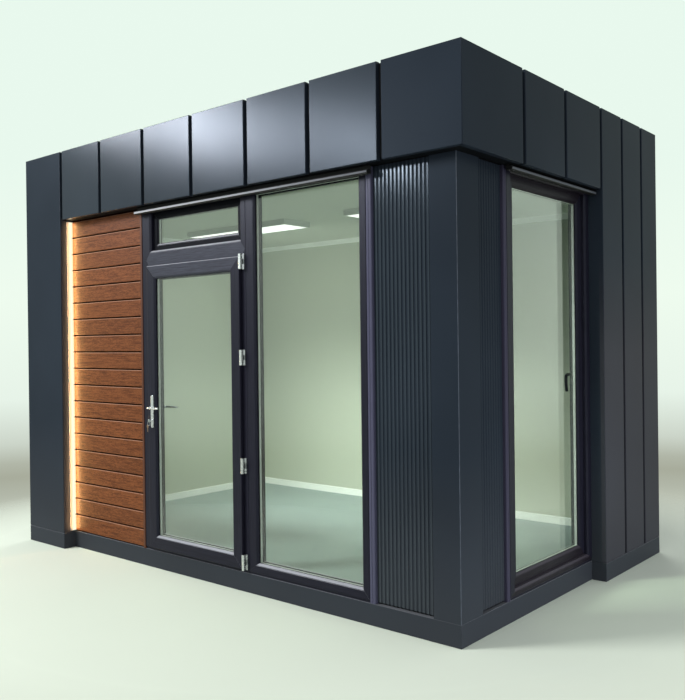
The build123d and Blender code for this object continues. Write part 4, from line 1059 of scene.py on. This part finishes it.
catchLook = {"width": 0.024, "thickness": 0.020, "baseDepth": 0.012, "baseHalf": 0.033, "easing": 0.003,
             "reach": 0.058, "corners": (0.006, 0.0055, 0.012), "kneeBelow": 0.060, "tipAbove": 0.004,
             "bend": 0.018, "end": 0.008, "stations": 48, "taperAt": (0, 0.3, 1), "taper": (0.75, 0.95, 0.7)}


def windowCatch(look):
    # base on the sash, then a lever that leaves it, curves over and hangs down with a taper
    low, high = spanOf("side_window_handle")
    u, near = (low[1] + high[1]) / 2, sidePlane - high[0]
    pivot = high[2] - look["baseHalf"]
    base = roundEndedPlate(onSide, u, pivot - look["baseHalf"], high[2], near + look["baseDepth"], near,
                           look["width"], look["easing"])
    depths = np.append(near, near + look["reach"] - np.array(look["corners"]))
    levels = np.array([pivot, pivot, pivot - look["kneeBelow"], low[2] + look["tipAbove"]])
    stations = look["stations"]
    path, length = evenPath(bentPath(onSide(np.full(4, u), depths, levels), look["bend"], 8), stations)
    radii = roundedEnd(stations, look["thickness"] / 2, look["width"] / 2, look["end"], length)
    radii[:, 1] *= np.interp(np.linspace(0, 1, stations), look["taperAt"], look["taper"])
    grip = roundBar(path, radii, (0.0, 1.0, 0.0), 16)
    makePiece("windowCatch", [base, grip], "pod", "handle_dark", "handleDark", smooth=40,
              replaced="side_window_handle")


windowCatch(catchLook)

ceilingLightLook = {"rim": 0.012, "set": 0.004, "easing": 0.004, "gap": 0.0005, "panelLow": 0.0015,
                    "panelHigh": 0.005}


def ceilingLights(look):
    # a shallow housing with eased lower edges, and a diffuser panel set up into its underside
    turn = np.linspace(0, math.pi / 2, 4)
    inset = np.concatenate([[0.0], look["easing"] * (1 - np.cos(turn)), [look["rim"]] * 2])
    reach = look["rim"] + look["gap"]
    shells = []
    for low, high in solidsOf("ceiling_lights"):
        x0, y0, z0 = low
        level = np.concatenate([[high[2]], z0 + look["easing"] * (1 - np.sin(turn)), [z0, z0 + look["set"]]])
        x = np.column_stack([x0 + inset, high[0] - inset, high[0] - inset, x0 + inset])
        y = np.column_stack([y0 + inset, y0 + inset, high[1] - inset, high[1] - inset])
        shells.append(loft(np.stack([x, y, np.repeat(level[:, None], 4, axis=1)], axis=-1)))
        shells.append(blockShell((x0 + reach, y0 + reach, z0 + look["panelLow"]),
                                 (high[0] - reach, high[1] - reach, z0 + look["panelHigh"])))
    makePiece("ceilingLightPanels", shells, "pod", "lamp", "lampBody", "lampFace",
              marks=[0, 1] * (len(shells) // 2), smooth=40, replaced="ceiling_lights")


ceilingLights(ceilingLightLook)

seamLook = {"spacing": 0.95, "half": 0.0275, "rise": 0.0022, "edge": 0.002, "feather": 0.012, "end": 0.001}


def roofSeams(look):
    # lap seams of the roofing sheets: low ridges across the roof, thin at one edge
    low, high = spanOf("roof_membrane")
    half, z = look["half"], high[2]
    places = np.linspace(low[0], high[0], int((high[0] - low[0]) / look["spacing"]) + 2)[1:-1]
    section = np.array([(-half, z), (look["edge"] - half, z + look["rise"]),
                        (half - look["feather"], z + look["rise"]), (half, z)])
    shells = []
    for x in places:
        shells.append(loft(np.stack([np.column_stack([x + section[:, 0], np.full(4, y), section[:, 1]])
                                     for y in (low[1] + look["end"], high[1] - look["end"])])))
    makePiece("roofLapSeams", shells, "pod", "roof_sheet", "membrane")


roofSeams(seamLook)
print("furniture, lights and roof seams made")


# Camera at the photograph's place
cameraLook = {"place": (4.3292, -4.9296, 1.6005), "yaw": 40.236, "pitch": 0.205, "roll": -0.679,
              "lens": 42.892, "sensor": 36, "shiftY": -0.007}


def setCamera(look):
    # the view axis from yaw and pitch, then the picture turned about it by the roll
    yaw, pitch, roll = (math.radians(look[key]) for key in ("yaw", "pitch", "roll"))
    back = Vector((math.sin(yaw) * math.cos(pitch), -math.cos(yaw) * math.cos(pitch), math.sin(pitch)))
    right = Vector((math.cos(yaw), math.sin(yaw), 0))
    up = back.cross(right)
    acrossPicture = right * math.cos(roll) + up * math.sin(roll)
    upPicture = -right * math.sin(roll) + up * math.cos(roll)
    camera = addObject("photoCamera", bpy.data.cameras.new("photoCamera"))
    camera.data.lens = look["lens"]
    camera.data.sensor_width = look["sensor"]
    camera.data.shift_y = look["shiftY"]
    axes = Matrix((acrossPicture, upPicture, back)).transposed()
    camera.matrix_world = Matrix.Translation(look["place"]) @ axes.to_4x4()
    bpy.context.scene.camera = camera


setCamera(cameraLook)

# Studio: a pale floor that fades into a pale surround with a soft band below the eye
studioLook = {
    "floor": (0.84, 0.925, 0.80), "clouds": 0.6, "rough": 0.55,
    "floorLevel": -0.001, "floorRadius": 6.0, "fadeFrom": 2.8, "fadeTo": 4.0,
    "light": (0.96, 0.98, 1.0), "worldLight": 0.44,
    "bandLow": -0.40, "bandHigh": 0.20,
    "band": [(0.067, (0.70, 0.77, 0.65)), (0.233, (0.84, 0.93, 0.81)), (0.340, (0.61, 0.66, 0.56)),
             (0.395, (0.44, 0.47, 0.39)), (0.425, (0.39, 0.41, 0.33)), (0.450, (0.44, 0.47, 0.39)),
             (0.485, (0.60, 0.66, 0.58)), (0.567, (0.80, 0.90, 0.81)),
             (0.750, (0.86, 0.97, 0.86)), (1.000, (0.81, 0.94, 0.85))],
}


def paleFloor(tree, look):
    # the floor fades away with the distance from its middle
    place = placeOn(tree)
    away = addNode(tree, "VectorMath", {0: place}, operation="LENGTH").outputs["Value"]
    fadeOut(tree, rangeOf(tree, away, look["fadeFrom"], look["fadeTo"], 0.0, 1.0))
    tone = cloudTone(tree, noiseOn(tree, place, look["clouds"], 2.0), look["floor"], 0.98, 1.0)
    return {"Base Color": tone, "Roughness": look["rough"], "Specular IOR Level": 0.0}


def layFloor(look):
    turn = fullTurn(64)
    rim = np.column_stack([look["floorRadius"] * np.cos(turn), look["floorRadius"] * np.sin(turn),
                           np.full(64, look["floorLevel"])])
    mesh = bpy.data.meshes.new("studioFloor")
    mesh.from_pydata(rim.tolist(), [], [list(range(64))])
    mesh.materials.append(makeFinish("paleFloor", paleFloor, look))
    floor = addObject("studioFloor", mesh)


def setWorld(look):
    # seen directly, mirrored or through glass it is the band, and for light on surfaces one even tone
    world = bpy.data.worlds.new("paleStudio")
    bpy.context.scene.world = world
    world.use_nodes = True
    tree = world.node_tree
    tree.nodes.clear()
    upward = axisOf(tree, addNode(tree, "TexCoord").outputs["Generated"], "Z")
    band = rampOf(tree, rangeOf(tree, upward, look["bandLow"], look["bandHigh"], 0.0, 1.0), look["band"])
    rays = addNode(tree, "LightPath").outputs
    seen = mathOf(tree, "MAXIMUM", rays["Is Camera Ray"], rays["Is Glossy Ray"])
    shown = mathOf(tree, "MAXIMUM", seen, rays["Is Transmission Ray"])
    picture = addNode(tree, "Background", {"Color": band}).outputs["Background"]
    light = addNode(tree, "Background", {"Color": (*look["light"], 1), "Strength": look["worldLight"]})
    mixed = addNode(tree, "MixShader", {0: shown, 1: light.outputs["Background"], 2: picture})
    addNode(tree, "OutputWorld", {"Surface": mixed.outputs["Shader"]})


layFloor(studioLook)
setWorld(studioLook)

# Lamps: those in the room are hidden from the camera, from mirrors and from the glass
roomLamp = {"colour": (0.94, 1.0, 0.92), "spread": 80, "hiddenFrom": ["camera", "glossy", "transmission"]}
ceilingLamp = dict(roomLamp, colour=(1.0, 1.0, 0.96), spread=180, size=(1.15, 0.26), power=2.0)
lampPlan = {
    "keyLeft": {"place": (-4.5, -7.5, 6.5), "aim": (0.2, 0.0, 1.0), "size": (2.6, 2.6), "power": 700,
                "colour": (1.0, 1.0, 0.98), "hiddenFrom": ["glossy"]},
    "fillFront": {"place": (4.5, -9.0, 5.0), "aim": (0.4, 0.0, 1.0), "size": (5.0, 4.0), "power": 150},
    "fillRight": {"place": (5.8, -0.6, 0.35), "aim": (2.0, -0.7, 0.30), "size": (3.0, 0.6), "power": 26,
                  "colour": (0.93, 0.95, 1.0), "spread": 90, "hiddenFrom": ["glossy"]},
    "backFill": {"place": (-4.0, 8.0, 6.0), "aim": (0.0, 0.5, 1.5), "size": (5.0, 4.0), "power": 260},
    "sheenHigh": {"place": (-4.95, -4.93, 4.80), "aim": (-0.3, -1.35, 3.0), "size": (2.0, 0.8), "power": 190,
                  "colour": (0.90, 0.92, 1.0), "hiddenFrom": ["diffuse"]},
    "sheenLow": {"place": (-2.55, -4.93, 4.05), "aim": (0.8, -1.35, 2.85), "size": (2.6, 0.6), "power": 125,
                 "colour": (0.90, 0.92, 1.0), "hiddenFrom": ["diffuse"]},
    "sheenRibs": {"place": (-1.10, -4.93, 3.56), "aim": (1.6, -1.22, 2.55), "size": (0.5, 0.4), "power": 18,
                  "colour": (0.88, 0.93, 1.0), "hiddenFrom": ["diffuse"]},
    "warmBoards": {"place": (-1.5775, -1.270, 1.355), "aim": (-1.5575, -1.254, 1.355), "size": (0.016, 2.42),
                   "power": 4.2, "colour": (1.0, 0.66, 0.27), "spread": 150},
    "warmReturn": {"place": (-1.5700, -1.283, 1.355), "aim": (-1.591, -1.305, 1.355), "size": (0.012, 2.42),
                   "power": 2.5, "colour": (1.0, 0.50, 0.20), "spread": 130},
    "roomLeft": dict(ceilingLamp, place=(-0.905, 0.005, 2.53), aim=(-0.905, 0.005, 0.0)),
    "roomRight": dict(ceilingLamp, place=(0.910, 0.005, 2.53), aim=(0.910, 0.005, 0.0)),
    "roomCove": dict(roomLamp, place=(-0.7, -0.20, 1.60), aim=(-1.0, 1.19, 2.45), size=(1.4, 0.3), power=2.2,
                     spread=90),
    "roomDaylight": dict(roomLamp, place=(-0.1, -0.74, 1.75), aim=(-0.25, 1.15, 0.25), size=(2.5, 0.5),
                         power=20),
    "roomSide": dict(roomLamp, place=(0.6, 0.10, 2.00), aim=(-1.9, 0.3, 0.40), size=(0.8, 0.8), power=3.5),
}


def hangLamp(name, plan):
    lamp = addObject(name, bpy.data.lights.new(name, "AREA"))
    lamp.data.shape = "RECTANGLE"
    lamp.data.size, lamp.data.size_y = plan["size"]
    lamp.data.energy = plan["power"]
    lamp.data.color = plan.get("colour", (1.0, 1.0, 1.0))
    lamp.data.spread = math.radians(plan.get("spread", 180))
    for rays in plan.get("hiddenFrom", []):
        setattr(lamp, "visible_" + rays, False)
    lamp.location = plan["place"]
    lamp.rotation_euler = (Vector(plan["aim"]) - Vector(plan["place"])).to_track_quat("-Z", "Y").to_euler()


for lampName, plan in lampPlan.items():
    hangLamp(lampName, plan)
bpy.context.scene.view_settings.view_transform = "Standard"
print("camera, studio and lamps set")
